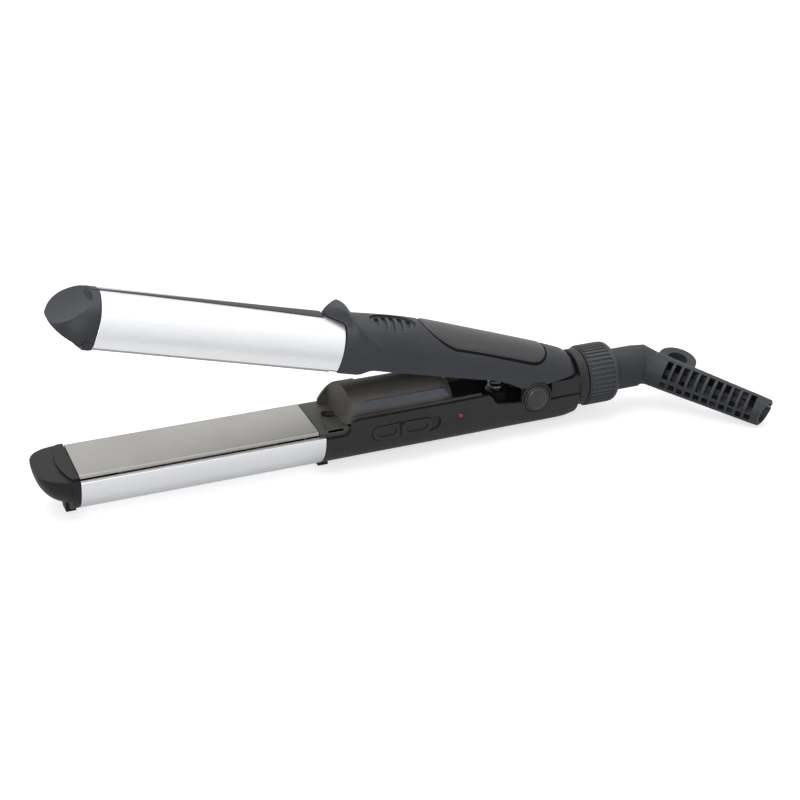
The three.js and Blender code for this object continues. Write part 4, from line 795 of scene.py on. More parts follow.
def plate_shape():
    half = PLATE_HALF_WIDTH
    rolled = 0.7 * mm
    outline = [(-half, -PLATE_THICKNESS), (half, -PLATE_THICKNESS)]
    outline += arc(half - rolled, -rolled, rolled, 0, 90, 8)
    outline += arc(-half + rolled, -rolled, rolled, 90, 180, 8)
    return prism("X", outline, 0, PLATE_LENGTH)


def half_round(radius, top, steps=96):
    """The lower half of a barrel in (y, z), closed straight across at z = top."""
    below = math.degrees(math.asin(max(-BARREL_DROP - top, 0) / radius))
    outline = arc(0, -BARREL_DROP, radius, 180 + below, 360 - below, steps)
    if top > -BARREL_DROP:
        outline = [(-radius, top)] + outline + [(radius, top)]
    return outline


def bullet_shape(form):
    """The blunt nose as rings from its tip to its rim. Its flat face falls away towards the tip."""
    half = BARREL_RADIUS - NOSE_INSET
    reach = BARREL_RADIUS - form["step"]
    rings = []
    for swing in spread(math.radians(3), math.radians(90), 60):
        ahead, depth = max(math.cos(swing), 0) ** form["bluntness"], math.sin(swing)
        width = half * depth ** form["width_curve"]
        x = -SEAM - (form["reach"] - SEAM) * ahead
        face = -NOSE_FACE_DROP - form["face_fall"] * ahead ** form["fall_curve"]
        shoulder = min(face, mixed(face, -BARREL_DROP, depth))
        ring = [Vector((x, width, face))]
        for turn in spread(0, math.pi, 96):
            side = math.copysign(abs(math.cos(turn)) ** form["squareness"], math.cos(turn))
            drop = reach * depth ** form["depth_curve"] * max(math.sin(turn), 0) ** form["squareness"]
            ring.append(Vector((x, width * side, max(shoulder - drop, -BARREL_DROP - reach))))
        ring.append(Vector((x, -width, face)))
        rings.append(ring)
    return loft(rings)


def facet_cutter(form):
    """The shallow ball that hollows the thumb facet out of the nose's front."""
    reach = 18 * mm
    away = 30 * mm
    ball = form["facet_radius"]
    profile = [(ball - math.sqrt(ball ** 2 - r ** 2) - form["facet_hollow"], r) for r in spread(0, reach, 40)]
    cutter = turned(profile + [(away, reach), (away, 0)], (0, 0, 0), "Z", 160)
    middle = Vector((-form["facet_ahead"], 0, form["facet_below_crest"] - BARREL_CREST))
    cutter.transform(Matrix.Translation(middle) @ Matrix.Rotation(math.pi + form["facet_tilt"], 4, "Y"))
    return cutter


def foot_shape(start, stop, width):
    """A foot that follows the barrel's curve just outside it, cut flat at the base."""
    radius = BARREL_RADIUS + FOOT_REACH + 0.4 * mm
    half = width / 2
    top = -BARREL_DROP - BARREL_RADIUS / 2
    corner = math.degrees(math.acos(half / radius))
    flat = math.degrees(math.asin((-BARREL_DROP - BASE_Z) / radius))
    outline = [(-half, top)] + arc(0, -BARREL_DROP, radius, 180 + corner, 180 + flat, 6)
    outline += arc(0, -BARREL_DROP, radius, 360 - flat, 360 - corner, 6) + [(half, top)]
    return prism("X", outline, start, stop)


def nose_head(form):
    back = -SEAM
    rim = prism("X", half_round(BARREL_RADIUS, -form["rim_drop"]), back - NOSE_RIM_LENGTH, back)
    half = BARREL_RADIUS - 1.4 * mm
    near = (-PAD_REACH / 2, -half)
    far = (-PAD_REACH / 2, half)
    bow = bezier(far, (-PAD_REACH * 1.17, half / 3), (-PAD_REACH * 1.17, -half / 3), near, 32)
    pad_depth = NOSE_FACE_DROP + max(form["face_fall"], 0) + mm
    pad = prism("Z", [(back, half)] + bow + [(back, -half)], -pad_depth, -PAD_DROP)
    return together(carved(bullet_shape(form), ("DIFFERENCE", facet_cutter(form))), rim, pad)


def nose_plug():
    inner = BARREL_RADIUS - BARREL_WALL - SEAM
    return prism("X", half_round(inner, -BARREL_DROP - SEAM), -SEAM - mm, 5.5 * mm)


def lower_nose_shape():
    nub = softened(foot_shape(-SEAM - FRONT_FOOT_LENGTH, -SEAM, FRONT_FOOT_WIDTH), 0.9 * mm)
    return together(nose_head(LOWER_NOSE), nose_plug(), nub)


def upper_nose_shape():
    """The upper nose with its small latch block beside the lip, leaning with the barrel's end."""
    latch = block(-3.7 * mm, -SEAM, -BARREL_RADIUS - 0.4 * mm, -BARREL_RADIUS + 2 * mm, -3.6 * mm, -1.1 * mm)
    head = together(nose_head(UPPER_NOSE), latch)
    mirror = Matrix.Scale(-1, 4, (0, 0, 1))
    head.transform(mirror @ LEAN @ mirror)
    return together(head, nose_plug())


# Lower arm

def lower_edge():
    """The lower handle's top edge in (x, z), from its front to its tail."""
    shoulder, rise, drop = -2.9 * mm, 2.7 * mm, -5 * mm
    edge = [(at_share(0), shoulder), (at_share(0.032), shoulder), (at_share(0.065), shoulder)]
    edge += bezier((at_share(0.067), shoulder), (at_share(0.0975), shoulder), (at_share(0.088), rise),
                   (at_share(0.1253), rise), 20)
    level = spread(at_share(0.13), at_share(0.61), 24)
    edge += [(x, mixed(rise, rise - 0.2 * mm, k / 24)) for k, x in enumerate(level)]
    edge += bezier((at_share(0.6128), rise - 0.2 * mm), (at_share(0.645), rise - 0.2 * mm),
                   (at_share(0.641), drop * 0.44), (at_share(0.673), drop * 0.46), 16)
    edge += [(at_share(0.743), drop * 0.66), (at_share(0.8), drop * 0.84), (at_share(0.854), drop)]
    edge += [(x, drop) for x in spread(at_share(0.87), at_share(1), 12)]
    return edge


def pill(length, height, centre_x, z=-SWITCH_DROP, steps=24):
    half, radius = (length - height) / 2, height / 2
    return arc(centre_x + half, z, radius, -90, 90, steps) + arc(centre_x - half, z, radius, 90, 270, steps)


def lower_handle_shape():
    rows = lower_edge()
    outer = lowered([LOWER_FORM.row(x, -z, 96) for x, z in rows])
    inner = lowered([LOWER_FORM.row(x, -z, 96, -LOWER_WALL) for x, z in rows])
    skin = wall(outer, inner)
    recess_outline = pill(RECESS_LENGTH, RECESS_HEIGHT, SWITCH_X)
    recess = prism("Y", recess_outline, -BARREL_RADIUS - mm, -SIDE_AT_SWITCH + RECESS_DEPTH)
    stem_slot = block(SLIDER_X - 4.3 * mm, SLIDER_X + 7.3 * mm, -BARREL_RADIUS, -SIDE_AT_SWITCH + 3 * mm,
                      -SWITCH_DROP - 1.3 * mm, -SWITCH_DROP + 1.3 * mm)
    lamp_hole = rod("Y", LED_RADIUS + 0.15 * mm, -BARREL_RADIUS - mm, -SIDE_AT_LED + 3 * mm,
                    (LED_X, 0, -LED_DROP), 48)
    cap_hole = rod("Y", CAP_RADIUS + SEAM, -BARREL_RADIUS, BARREL_RADIUS, (HINGE.x, 0, HINGE.z))
    skin = carved(skin, ("DIFFERENCE", recess), ("DIFFERENCE", stem_slot), ("DIFFERENCE", lamp_hole),
                  ("DIFFERENCE", cap_hole))
    lobe = softened(foot_shape(HANDLE_X, HANDLE_X + REAR_FOOT_LENGTH, REAR_FOOT_WIDTH), 2 * mm, 6)
    return together(skin, lobe, lug_shape(1), lug_shape(-1), spring_post(), bezel_shape())


def bezel_shape():
    """The dark ring that the lamp sits in."""
    face = -SIDE_AT_LED
    outer, inner = LED_RADIUS + 0.25 * mm, LED_WINDOW + 0.05 * mm
    profile = [(face + 0.6 * mm, outer), (face + 0.1 * mm, outer), (face - 0.1 * mm, outer - 0.2 * mm),
               (face - 0.1 * mm, inner + 0.15 * mm), (face + 0.2 * mm, inner), (face + 0.6 * mm, inner)]
    return turned(profile, (LED_X, 0, -LED_DROP), "Y", 48, ring=True)


def lug_shape(side):
    """The round boss on the handle's side, with the cap's recess in it."""
    face = SIDE_AT_HINGE + 0.05 * mm
    floor = SIDE_AT_HINGE - CAP_DEPTH
    back = SIDE_AT_HINGE - LOWER_WALL
    pocket = CAP_RADIUS + SEAM
    profile = [(back, 0), (back, LUG_RADIUS), (face - 0.2 * mm, LUG_RADIUS), (face, LUG_RADIUS - 0.2 * mm),
               (face, pocket + 0.1 * mm), (face - 0.1 * mm, pocket), (floor, pocket), (floor, 0)]
    return turned([(side * distance, radius) for distance, radius in profile], (HINGE.x, 0, HINGE.z), "Y")


def spring_post():
    """The post that the spring stands on, with a spigot inside the coils."""
    floor, seat = -17 * mm, -1.8 * mm
    post, spigot = 4.5 * mm, 2.1 * mm
    profile = [(floor, 0), (floor, post), (seat, post), (seat, spigot), (0, spigot), (0, 0)]
    return turned(profile, (SPRING_X, 0, 0), "Z", 48)


def dome_front(turn):
    """Where the dome's scooped front ends at a turn round it, from its far side to its near side."""
    stations = [(0, -0.6), (0.35, 1.2), (0.52, 2.1), (0.63, 2.5), (0.75, 3.4), (0.82, 4.8), (0.91, 7.1), (1, 8)]
    return DOME_X + mm * along(stations, turn / math.pi)


def dome_shape():
    """The half-round saddle: a scooped front, a long straight middle and a slanted rear."""
    foot_x = DOME_X - 0.3 * mm
    foot_z = -DECK_DROP - 0.2 * mm
    hollow = 1.6
    turns = spread(0, math.pi, 72)
    rows = []

    def skin(x_at, radius, lift=0.0):
        row = []
        for turn in turns:
            y, z = radius * math.cos(turn), DOME_CENTRE + radius * math.sin(turn) - lift
            row.append(Vector((x_at(turn), y, max(z, foot_z))))
        rows.append([Vector((x_at(0), radius, foot_z))] + row + [Vector((x_at(math.pi), -radius, foot_z))])

    for share in spread(0, 1, 12)[:-1]:
        row = []
        for turn in turns:
            y, z = DOME_RADIUS * math.cos(turn), DOME_CENTRE + DOME_RADIUS * math.sin(turn)
            x = mixed(foot_x, dome_front(turn), share)
            row.append(Vector((x, y * mixed(0.96, 1, share), mixed(foot_z, z, share ** hollow))))
        rows.append([Vector((row[0].x, row[0].y, foot_z))] + row + [Vector((row[-1].x, row[-1].y, foot_z))])
    skin(dome_front, DOME_RADIUS)
    skin(lambda turn: DOME_X + 9 * mm, DOME_RADIUS)
    skin(lambda turn: DOME_END - 5.5 * mm, DOME_RADIUS)
    skin(lambda turn: DOME_END, DOME_RADIUS - 1.5 * mm, 3 * mm)

    def build(bm):
        grid = [[bm.verts.new(point) for point in row] for row in rows]
        strips(bm, grid)
        strips(bm, [[row[0] for row in grid], [row[-1] for row in grid]])
        bm.faces.new(grid[0])
        bm.faces.new(grid[-1])
    return mesh_of(build)


def cheek_shape():
    """The thin arched wall on the dome's far side. It leans back and thins out towards the top."""
    outer, inner = [], []
    last = math.radians(70)
    for turn in spread(0, last, 24):
        front = DOME_X - CHEEK_AHEAD + 8.4 * mm * turn / math.radians(75)
        thin = math.cos(math.pi / 2 * clamped((turn / last - 0.5) / 0.5))
        for rows, radius in ((outer, DOME_RADIUS + CHEEK_WALL * thin), (inner, DOME_RADIUS - 0.1 * mm)):
            y, z = radius * math.cos(turn), DOME_CENTRE + radius * math.sin(turn)
            rows.append([Vector((front, y, z)), Vector((DOME_X + 9 * mm, y, z))])
    for rows in (outer, inner):
        rows.insert(0, [Vector((point.x, point.y, -DECK_DROP - mm)) for point in rows[0]])
    return wall(outer, inner)


def cover_lip(side):
    """The thin lip that stands just inside the handle's edge."""
    def face(x, out):
        y = side * (LOWER_FORM.half(x) - LOWER_WALL - SEAM - out)
        return [Vector((x, y, z)) for z in (-DECK_DROP - mm, LIP_HEIGHT)]
    stations = spread(DOME_X + 2 * mm, at_share(0.6), 24)
    return wall([face(x, 0) for x in stations], [face(x, LIP_WALL) for x in stations])


def side_bars_shape():
    """The raised bars along both sides of the dome, slanted at their ends."""
    bars = []
    low, high, slant = 3 * mm, 6.1 * mm, 1.9 * mm
    for sign in (1, -1):
        section = [(-0.1 * mm, low), (-1.6 * mm, high), (-3.6 * mm, high), (-3.6 * mm, low)]
        front = [(sign * (DOME_RADIUS + out), DOME_CENTRE + z) for out, z in section]
        bar = prism("X", front, DOME_X + 6.8 * mm, DOME_END - 2.4 * mm)
        for vertex in bar.verts:
            lift = (vertex.co.z - DOME_CENTRE - low) / (high - low)
            towards = 1 if vertex.co.x < (DOME_X + DOME_END) / 2 else -1
            vertex.co.x += towards * slant * lift
        bars.append(bar)
    return together(*bars)


def inner_cover_shape():
    half = PLATE_HALF_WIDTH - SEAM
    deck_end = DECK_X + DECK_LENGTH
    flange_bottom = -DECK_DROP - 1.2 * mm
    deck = block(DECK_X, deck_end, -half, half, -DECK_DROP - DECK_THICKNESS, -DECK_DROP)
    stations = spread(deck_end - mm, DOME_END + 2 * mm, 16)
    flange_rows = [(x, LOWER_FORM.half(x) - LOWER_WALL - SEAM) for x in stations]
    flange_outline = [(x, -y) for x, y in flange_rows] + [(x, y) for x, y in reversed(flange_rows)]
    flange = prism("Z", flange_outline, flange_bottom, -DECK_DROP)
    tab_width, tab_height = 4.4 * mm, 0.5 * mm
    tab = block(DECK_X + 3.4 * mm, DECK_X + 9.4 * mm, -half, -half + tab_width,
                -DECK_DROP - mm, -DECK_DROP + tab_height)
    counterbore = rod("Z", SCREW_HEAD_RADIUS + SEAM, -DECK_DROP - 2.2 * mm, 4 * mm, (LOWER_SCREW_X, 0, 0))
    inside, outside = SCREW_HEAD_RADIUS + SEAM, SCREW_HEAD_RADIUS + 1.1 * mm
    low, high = -DECK_DROP - mm, -DECK_DROP + 0.3 * mm
    ring_profile = [(low, outside), (high, outside), (high, inside), (low, inside)]
    ring = turned(ring_profile, (LOWER_SCREW_X, 0, 0), "Z", 64, ring=True)
    return together(carved(deck, ("DIFFERENCE", counterbore)), ring, tab, flange, dome_shape(), cheek_shape(),
                    cover_lip(1), cover_lip(-1))


def screw_shape(x, top):
    """A countersunk screw with a cross recess, its head's face at z = top."""
    head = SCREW_HEAD_RADIUS
    shank, length, head_height = 1.3 * mm, 8.5 * mm, 1.2 * mm
    profile = [(top - length, 0), (top - length, shank), (top - head_height, shank),
               (top - head_height, head * 0.9), (top - 0.9 * mm, head), (top - 0.3 * mm, head),
               (top - 0.05 * mm, head * 0.8), (top, head * 0.4), (top, 0)]
    body = turned(profile, (x, 0, 0), "Z", 48)
    reach = 1.5 * mm
    slot = 0.28 * mm
    return carved(body, ("DIFFERENCE", block(x - reach, x + reach, -slot, slot, top - 0.8 * mm, top + mm)),
                  ("DIFFERENCE", block(x - slot, x + slot, -reach, reach, top - 0.8 * mm, top + mm)))


def slider_shape():
    face = -SIDE_AT_SWITCH + RECESS_DEPTH - SEAM
    height = RECESS_HEIGHT - 2 * SEAM
    outline = pill(SLIDER_LENGTH, height, SLIDER_X)
    front = face - SLIDER_THICKNESS
    pad = prism("Y", outline, front, face)
    left = pill(8 * mm, 3.6 * mm, SLIDER_X - 6.4 * mm)
    right = pill(9 * mm, 3.6 * mm, SLIDER_X + 6 * mm)
    pad = carved(pad, ("DIFFERENCE", prism("Y", left, front - mm, front + SLIDER_POCKET)),
                 ("DIFFERENCE", prism("Y", right, front - mm, front + SLIDER_POCKET)))
    ridge = prism("Z", [(SLIDER_X - 1.2 * mm, front + 0.4 * mm), (SLIDER_X - 0.6 * mm, front - mm),
                        (SLIDER_X + 0.6 * mm, front - mm), (SLIDER_X + 1.2 * mm, front + 0.4 * mm)],
                  -SWITCH_DROP - 2.5 * mm, -SWITCH_DROP + 2.5 * mm)
    stem = block(SLIDER_X - 4 * mm, SLIDER_X + 4 * mm, face - 0.4 * mm, -SIDE_AT_SWITCH + 3.2 * mm,
                 -SWITCH_DROP - mm, -SWITCH_DROP + mm)
    return together(pad, ridge, stem)


def lens_shape():
    tip = -SIDE_AT_LED + 0.25 * mm
    crown = 0.5 * mm
    profile = []
    for angle in range(0, 91, 9):
        swing = math.radians(angle)
        profile.append((tip - crown * math.cos(swing), LED_WINDOW * math.sin(swing)))
    step, back = tip + 0.5 * mm, tip + 4 * mm
    profile += [(step, LED_WINDOW), (step, LED_RADIUS), (back, LED_RADIUS), (back, 0)]
    return turned(profile, (LED_X, 0, -LED_DROP), "Y", 48)


def cap_shape(side):
    seat = SIDE_AT_HINGE - CAP_DEPTH + SEAM
    rim = seat + CAP_DEPTH
    rise = CAP_CROWN - 0.35 * mm
    inner = CAP_RADIUS - 0.75 * mm
    profile = [(seat, 0), (seat, CAP_RADIUS), (rim - 0.2 * mm, CAP_RADIUS), (rim, CAP_RADIUS - 0.2 * mm),
               (rim, inner + 0.15 * mm), (rim - 0.15 * mm, inner)]
    for angle in range(0, 91, 6):
        swing = math.radians(angle)
        profile.append((rim + rise * math.sin(swing), inner * math.cos(swing)))
    profile[-1] = (profile[-1][0], 0)
    return turned([(side * distance, radius) for distance, radius in profile], (HINGE.x, 0, HINGE.z), "Y")


def tail_yoke_shape():
    inset = LOWER_WALL + SEAM
    top = 2.1 * mm
    rings = lowered([LOWER_FORM.row(x, -top, 64, -inset) for x in spread(YOKE_X, COLLAR_X, 8)])
    body = loft(rings)
    cheek = block(YOKE_X, COLLAR_X + 0.1 * mm, -10.6 * mm, 10.6 * mm, -5 * mm + SEAM, top)
    bore = rod("X", STEM_RADIUS + SEAM, YOKE_X - mm, COLLAR_X + mm, (0, 0, TAIL_Z))
    inside = STEM_RADIUS + SEAM
    end = COLLAR_X + COLLAR_LENGTH
    edge = 0.4 * mm
    collar = [(COLLAR_X, inside), (COLLAR_X, COLLAR_RADIUS - edge), (COLLAR_X + edge, COLLAR_RADIUS),
              (end - edge, COLLAR_RADIUS), (end, COLLAR_RADIUS - edge), (end, SPIGOT_RADIUS),
              (BOOT_X - SEAM, SPIGOT_RADIUS), (BOOT_X - SEAM, inside)]
    return together(carved(body, ("UNION", cheek), ("DIFFERENCE", bore)),
                    turned(collar, (0, 0, TAIL_Z), "X", 128, ring=True))


def ring_shape():
    """The twist ring, with a skirt over the boot's flange behind its ribs."""
    inside = SPIGOT_RADIUS + SEAM
    body = RING_RADIUS - 0.4 * mm
    end = RING_END + RING_SKIRT
    bevel = 1.9 * mm
    smooth_start = end - 2.6 * mm
    skirt_inside = NECK_FLANGE_RADIUS + 0.35 * mm
    profile = [(RING_X, inside), (RING_X, body - 0.5 * mm), (RING_X + 0.5 * mm, body), (smooth_start, body),
               (smooth_start + 0.1 * mm, RING_RADIUS), (end - bevel, RING_RADIUS)]
    for angle in range(15, 91, 15):
        swing = math.radians(angle)
        profile.append((end - bevel + bevel * math.sin(swing), RING_RADIUS - bevel + bevel * math.cos(swing)))
    profile += [(end, skirt_inside), (RING_END - 0.1 * mm, skirt_inside), (RING_END - 0.1 * mm, inside)]
    return turned(profile, (0, 0, TAIL_Z), "X", 160, ring=True)


# Cord boot, drawn from the elbow: the neck runs along x and the boot bends towards -y

BOOT_AXIS = Vector((math.cos(BOOT_BEND), -math.sin(BOOT_BEND), 0))
BOOT_OUTSIDE = Vector((math.sin(BOOT_BEND), math.cos(BOOT_BEND), 0))
BOOT_TURN = Matrix((BOOT_AXIS, BOOT_OUTSIDE, Vector((0, 0, 1)))).transposed().to_4x4()


def tube_ring(distance, radius, sides, slant=0.0):
    """A circle round the bent axis. The ring at the elbow is stretched to fill the mitre."""
    turn = BOOT_BEND / 2 if distance == 0 else BOOT_BEND * (distance > 0)
    stretch = 1 / math.cos(BOOT_BEND / 2) if distance == 0 else 1.0
    across = Vector((math.sin(turn), math.cos(turn), 0)) * stretch
    centre = Vector((distance, 0, 0)) if distance < 0 else BOOT_AXIS * distance
    ring = []
    for i in range(sides):
        angle = 2 * math.pi * i / sides
        away = across * radius * math.cos(angle) + Vector((0, 0, radius * math.sin(angle)))
        ring.append(centre + away + BOOT_AXIS * slant * math.cos(angle))
    return ring


def boot_shape():
    front = -NECK_LENGTH
    flange = front + NECK_FLANGE_LENGTH
    elbow = NECK_RADIUS * math.tan(BOOT_BEND / 2) + 0.3 * mm
    elbow_radius = (NECK_RADIUS + BOOT_START_RADIUS) / 2
    stations = [(front, NECK_FLANGE_RADIUS - 0.4 * mm), (front + 0.15 * mm, NECK_FLANGE_RADIUS - 0.12 * mm),
                (front + 0.4 * mm, NECK_FLANGE_RADIUS), (flange - 0.3 * mm, NECK_FLANGE_RADIUS),
                (flange, NECK_FLANGE_RADIUS - 0.3 * mm), (flange + 0.1 * mm, NECK_RADIUS)]
    stations += [(-elbow, NECK_RADIUS), (0, elbow_radius)]
    end = BOOT_LENGTH + 0.4 * mm
    for distance in spread(elbow, end - 4 * mm, 20):
        stations.append((distance, mixed(BOOT_START_RADIUS, BOOT_END_RADIUS, distance / end)))
    rings = [tube_ring(distance, radius, 72) for distance, radius in stations]
    rings.append(tube_ring(end - 0.2 * mm, BOOT_END_RADIUS - 0.1 * mm, 72, BOOT_SLANT))
    rings.append(tube_ring(end, BOOT_END_RADIUS - 0.45 * mm, 72, BOOT_SLANT))
    bore = loft([tube_ring(d, CORD_BORE_RADIUS, 32) for d in (front - mm, 0, BOOT_LENGTH + 4 * mm)])
    mouth = rod("X", CORD_BORE_RADIUS + 1.3 * mm, BOOT_LENGTH - 5 * mm, BOOT_LENGTH + 4 * mm, (0, 0, 0), 48)
    notch = block(BOOT_LENGTH - 1.6 * mm, BOOT_LENGTH + 4 * mm, CORD_BORE_RADIUS, BOOT_START_RADIUS * 2,
                  -0.7 * mm, 0.7 * mm)
    for cutter in (mouth, notch):
        cutter.transform(BOOT_TURN)
    steps = [("UNION", loop_shape()), ("DIFFERENCE", bore), ("DIFFERENCE", mouth), ("DIFFERENCE", notch)]
    count = shape().windows
    for angle, span, windows in ((126, 64, count), (34, 44, count - 1), (186, 22, count)):
        steps.append(("DIFFERENCE", window_row(math.radians(angle), math.radians(span), windows)))
    return carved(loft(rings), *steps)


def window_row(angle, span, windows):
    """Blocks along the boot's axis that point outwards at an angle round it."""
    height = BOOT_START_RADIUS * math.sin(span / 2)
    cutters = []
    for i in range(windows):
        x = WINDOW_START + i * WINDOW_PITCH
        cutter = block(-WINDOW_SLOT / 2, WINDOW_SLOT / 2, CORD_BORE_RADIUS / 2, BOOT_START_RADIUS * 2,
                       -height, height)
        cutter.transform(BOOT_TURN @ Matrix.Translation((x, 0, 0)) @ Matrix.Rotation(angle, 4, "X"))
        cutters.append(cutter)
    return together(*cutters)


def loop_shape():
    half = LOOP_LENGTH / 2
    middle = LOOP_ALONG
    inner = half - LOOP_BAND
    centre = LOOP_REACH - half
    outer_line = [(middle - half, 0), (middle + half, 0)] + arc(middle, centre, half, 0, 180, 32)
    hole_start = BOOT_START_RADIUS + 0.6 * mm
    hole_line = [(middle - inner, hole_start), (middle + inner, hole_start)]
    hole_line += arc(middle, centre, inner, 0, 180, 24)
    thick = LOOP_THICKNESS / 2
    hole = prism("Z", hole_line, -thick * 2, thick * 2)
    loop = carved(prism("Z", outer_line, -thick, thick), ("DIFFERENCE", hole))
    loop.transform(BOOT_TURN @ Matrix.Rotation(LOOP_TILT, 4, "X"))
    return loop


# Upper arm, drawn closed

def upper_edge_height(x):
    """The bottom of the upper handle's side at x, above the parting plane."""
    front, rail, over_hinge, tail = 0.9 * mm, 3.1 * mm, 0.6 * mm, 8.3 * mm
    stations = [(at_share(-0.1), front), (at_share(0.079), front), (at_share(0.096), mixed(front, rail, 0.3)),
                (at_share(0.112), mixed(front, rail, 0.8)), (at_share(0.13), rail), (at_share(0.613), rail),
                (at_share(0.68), mixed(over_hinge, rail, 0.7)), (at_share(0.743), over_hinge),
                (HINGE.x, over_hinge), (HINGE.x + 2.8 * mm, over_hinge + 2.6 * mm),
                (at_share(0.882), tail - 3.6 * mm), (at_share(0.974), tail)]
    for (x0, z0), (x1, z1) in zip(stations, stations[1:]):
        if x <= x1:
            return mixed(z0, z1, clamped((x - x0) / (x1 - x0)))
    return tail


GUARD_CREST = [(0, 0), (0.08, 0), (0.16, 0.04), (0.31, 0.19), (0.42, 0.34), (0.5, 0.47), (0.58, 0.65),
               (0.68, 0.91)]
GUARD_FIN = [(0, 1), (0.1, 0.96), (0.2, 0.82), (0.31, 0.62), (0.42, 0.44), (0.5, 0.29), (0.58, 0.13), (0.68, 0),
             (1, 0)]


def on_top(share, fading_share=0.28):
    """1 at the middle of the handle's top, fading to 0 a little way down each side."""
    return math.cos(math.pi / 2 * min(share / fading_share, 1)) ** 2


def guard_offset(share, ahead):
    """How far the finger guard stands out, by the share down from the top and the share towards its crest."""
    lift, side_hollow, top_bulge, bulge_share = 0.1, 1.6, 0.65, 0.65
    rise = math.sin(math.pi / 2 * ahead) ** mixed(side_hollow, top_bulge, on_top(share, bulge_share))
    return GUARD_HEIGHT * along(GUARD_FIN, share) * mixed(lift * (1 - on_top(share)), 1.0, rise)


def guard_front(share):
    """The front edge follows the barrel's leaning end, and reaches forward over the barrel at the top."""
    rise = max(math.cos(share * math.pi / 2), 0) ** SQUARENESS
    height = UPPER_FORM.centre + UPPER_FORM.reach(HANDLE_X) * rise
    return HANDLE_X + UPPER_LEAN * (height - LIP_DROP) - GUARD_FRONT * on_top(share)


def guard_back(share):
    return mixed(GUARD_BACK, GUARD_TOP_BACK, on_top(share))


def guard_crest(share):
    return HANDLE_X + GUARD_CREST_BEHIND + GUARD_SWEEP * along(GUARD_CREST, share)


def upper_skin(out, columns):
    """The upper handle's skin as rows from the guard's front edge to the tail."""
    calm_x = HANDLE_X + 30 * mm
    rows = []

    def add(x_at, out_at):
        probe = x_at(1.0)
        first = UPPER_FORM.edge_turn(probe, upper_edge_height(probe), out)
        row = []
        for turn in spread(first, math.pi - first, columns):
            share = clamped(abs(turn - math.pi / 2) / (math.pi / 2))
            row.append(UPPER_FORM.point(x_at(share), turn, out + out_at(share)))
        rows.append(row)

    for ahead in (0, 0.02, 0.05, 0.1, 0.17, 0.25, 0.34, 0.44, 0.54, 0.64, 0.74, 0.83, 0.9, 0.96, 1.0):
        add(lambda s, a=ahead: mixed(guard_front(s), guard_crest(s), a),
            lambda s, a=ahead: guard_offset(s, a))
    for behind in spread(0.12, 1, 10):
        fall = (1 + math.cos(math.pi * behind)) / 2
        add(lambda s, b=behind: guard_crest(s) + b * guard_back(s),
            lambda s, f=fall: guard_offset(s, 1.0) * f)
    for share in spread(0.12, 1, 10):
        add(lambda s, t=share: mixed(guard_crest(s) + guard_back(s), calm_x, t), lambda s: 0.0)
    end = HANDLE_X + UPPER_LENGTH
    for x in spread(calm_x + 1.6 * mm, end - 5 * mm, 40) + spread(end - 4.6 * mm, end, 12):
        add(lambda s, x=x: x, lambda s: 0.0)
    return rows


def upper_handle_shape():
    outer = upper_skin(0.0, 128)
    inner = upper_skin(-UPPER_WALL, 128)
    clear_barrel(inner)
    end = HANDLE_X + UPPER_LENGTH
    first = UPPER_FORM.edge_turn(end, upper_edge_height(end))
    tail_line = [UPPER_FORM.point(end, turn) for turn in spread(first, math.pi - first, 48)]
    tail_wall = prism("X", [(p.y, p.z) for p in tail_line], end - UPPER_WALL, end - 0.02 * mm)
    lug_room = rod("Y", LUG_RADIUS + SEAM, -BARREL_RADIUS, BARREL_RADIUS, (HINGE.x, 0, HINGE.z))
    groove = inlay_patch(INLAY_GROOVE, -INLAY_DEPTH - SEAM, 2 * mm)
    skin = carved(wall(outer, inner), ("DIFFERENCE", lug_room), ("DIFFERENCE", groove),
                  ("DIFFERENCE", vent_dish()), ("DIFFERENCE", vent_slots()))
    return together(skin, tail_wall)


def clear_barrel(rows):
    """Moves the skin's inner points that lie ahead of the barrel's end out to just clear the barrel."""
    clear = BARREL_RADIUS + SEAM
    for row in rows:
        for point in row:
            barrel_end = HANDLE_X + UPPER_LEAN * (point.z - LIP_DROP) - 0.02 * mm
            if point.x < barrel_end and point.z > BARREL_DROP:
                side = Vector((point.y, point.z - BARREL_DROP)).normalized() * clear
                point.y, point.z = side.x, side.y + BARREL_DROP


def inlay_outline(margin, steps=20):
    start, end, half = INLAY_START - margin, INLAY_END + margin, INLAY_HALF_WIDTH + margin
    rear_half = half - 0.9 * mm
    front_corner, rear_corner = start + 13 * mm, end - 9 * mm
    near = bezier((start, 0), (start, -half * 0.6), (start + 5 * mm, -half * 0.93),
                  (front_corner, -half), steps)
    for t in spread(0, 1, 16)[1:-1]:
        near.append((mixed(front_corner, rear_corner, t), mixed(-half, -rear_half, t)))
    near += bezier((rear_corner, -rear_half), (end - 1.5 * mm, -rear_half), (end, -7 * mm), (end, 0), steps)
    return near + [(x, -y) for x, y in reversed(near[1:-1])]


def patch(outline, centre, low, height_at, shares):
    """A closed patch over the upper handle: rings from the outline to its centre, with a lower face."""
    def ring(share, height):
        points = []
        for x, y in outline:
            px, py = mixed(centre[0], x, share), mixed(centre[1], y, share)
            points.append(Vector((px, py, UPPER_FORM.top(px, py) + height)))
        return points

    def build(bm):
        rows = [[bm.verts.new(p) for p in ring(share, height_at(share))] for share in shares]
        rows.insert(0, [bm.verts.new(p) for p in ring(1.0, low)])
        middle = Vector((centre[0], centre[1], UPPER_FORM.top(*centre)))
        peak = [bm.verts.new(middle + Vector((0, 0, height_at(0))))]
        under = [[bm.verts.new(p) for p in ring(share, low)] for share in shares[1:]]
        base = [bm.verts.new(middle + Vector((0, 0, low)))]
        strips(bm, rows + [peak], around=True)
        strips(bm, [rows[0]] + under + [base], around=True)
    return mesh_of(build)


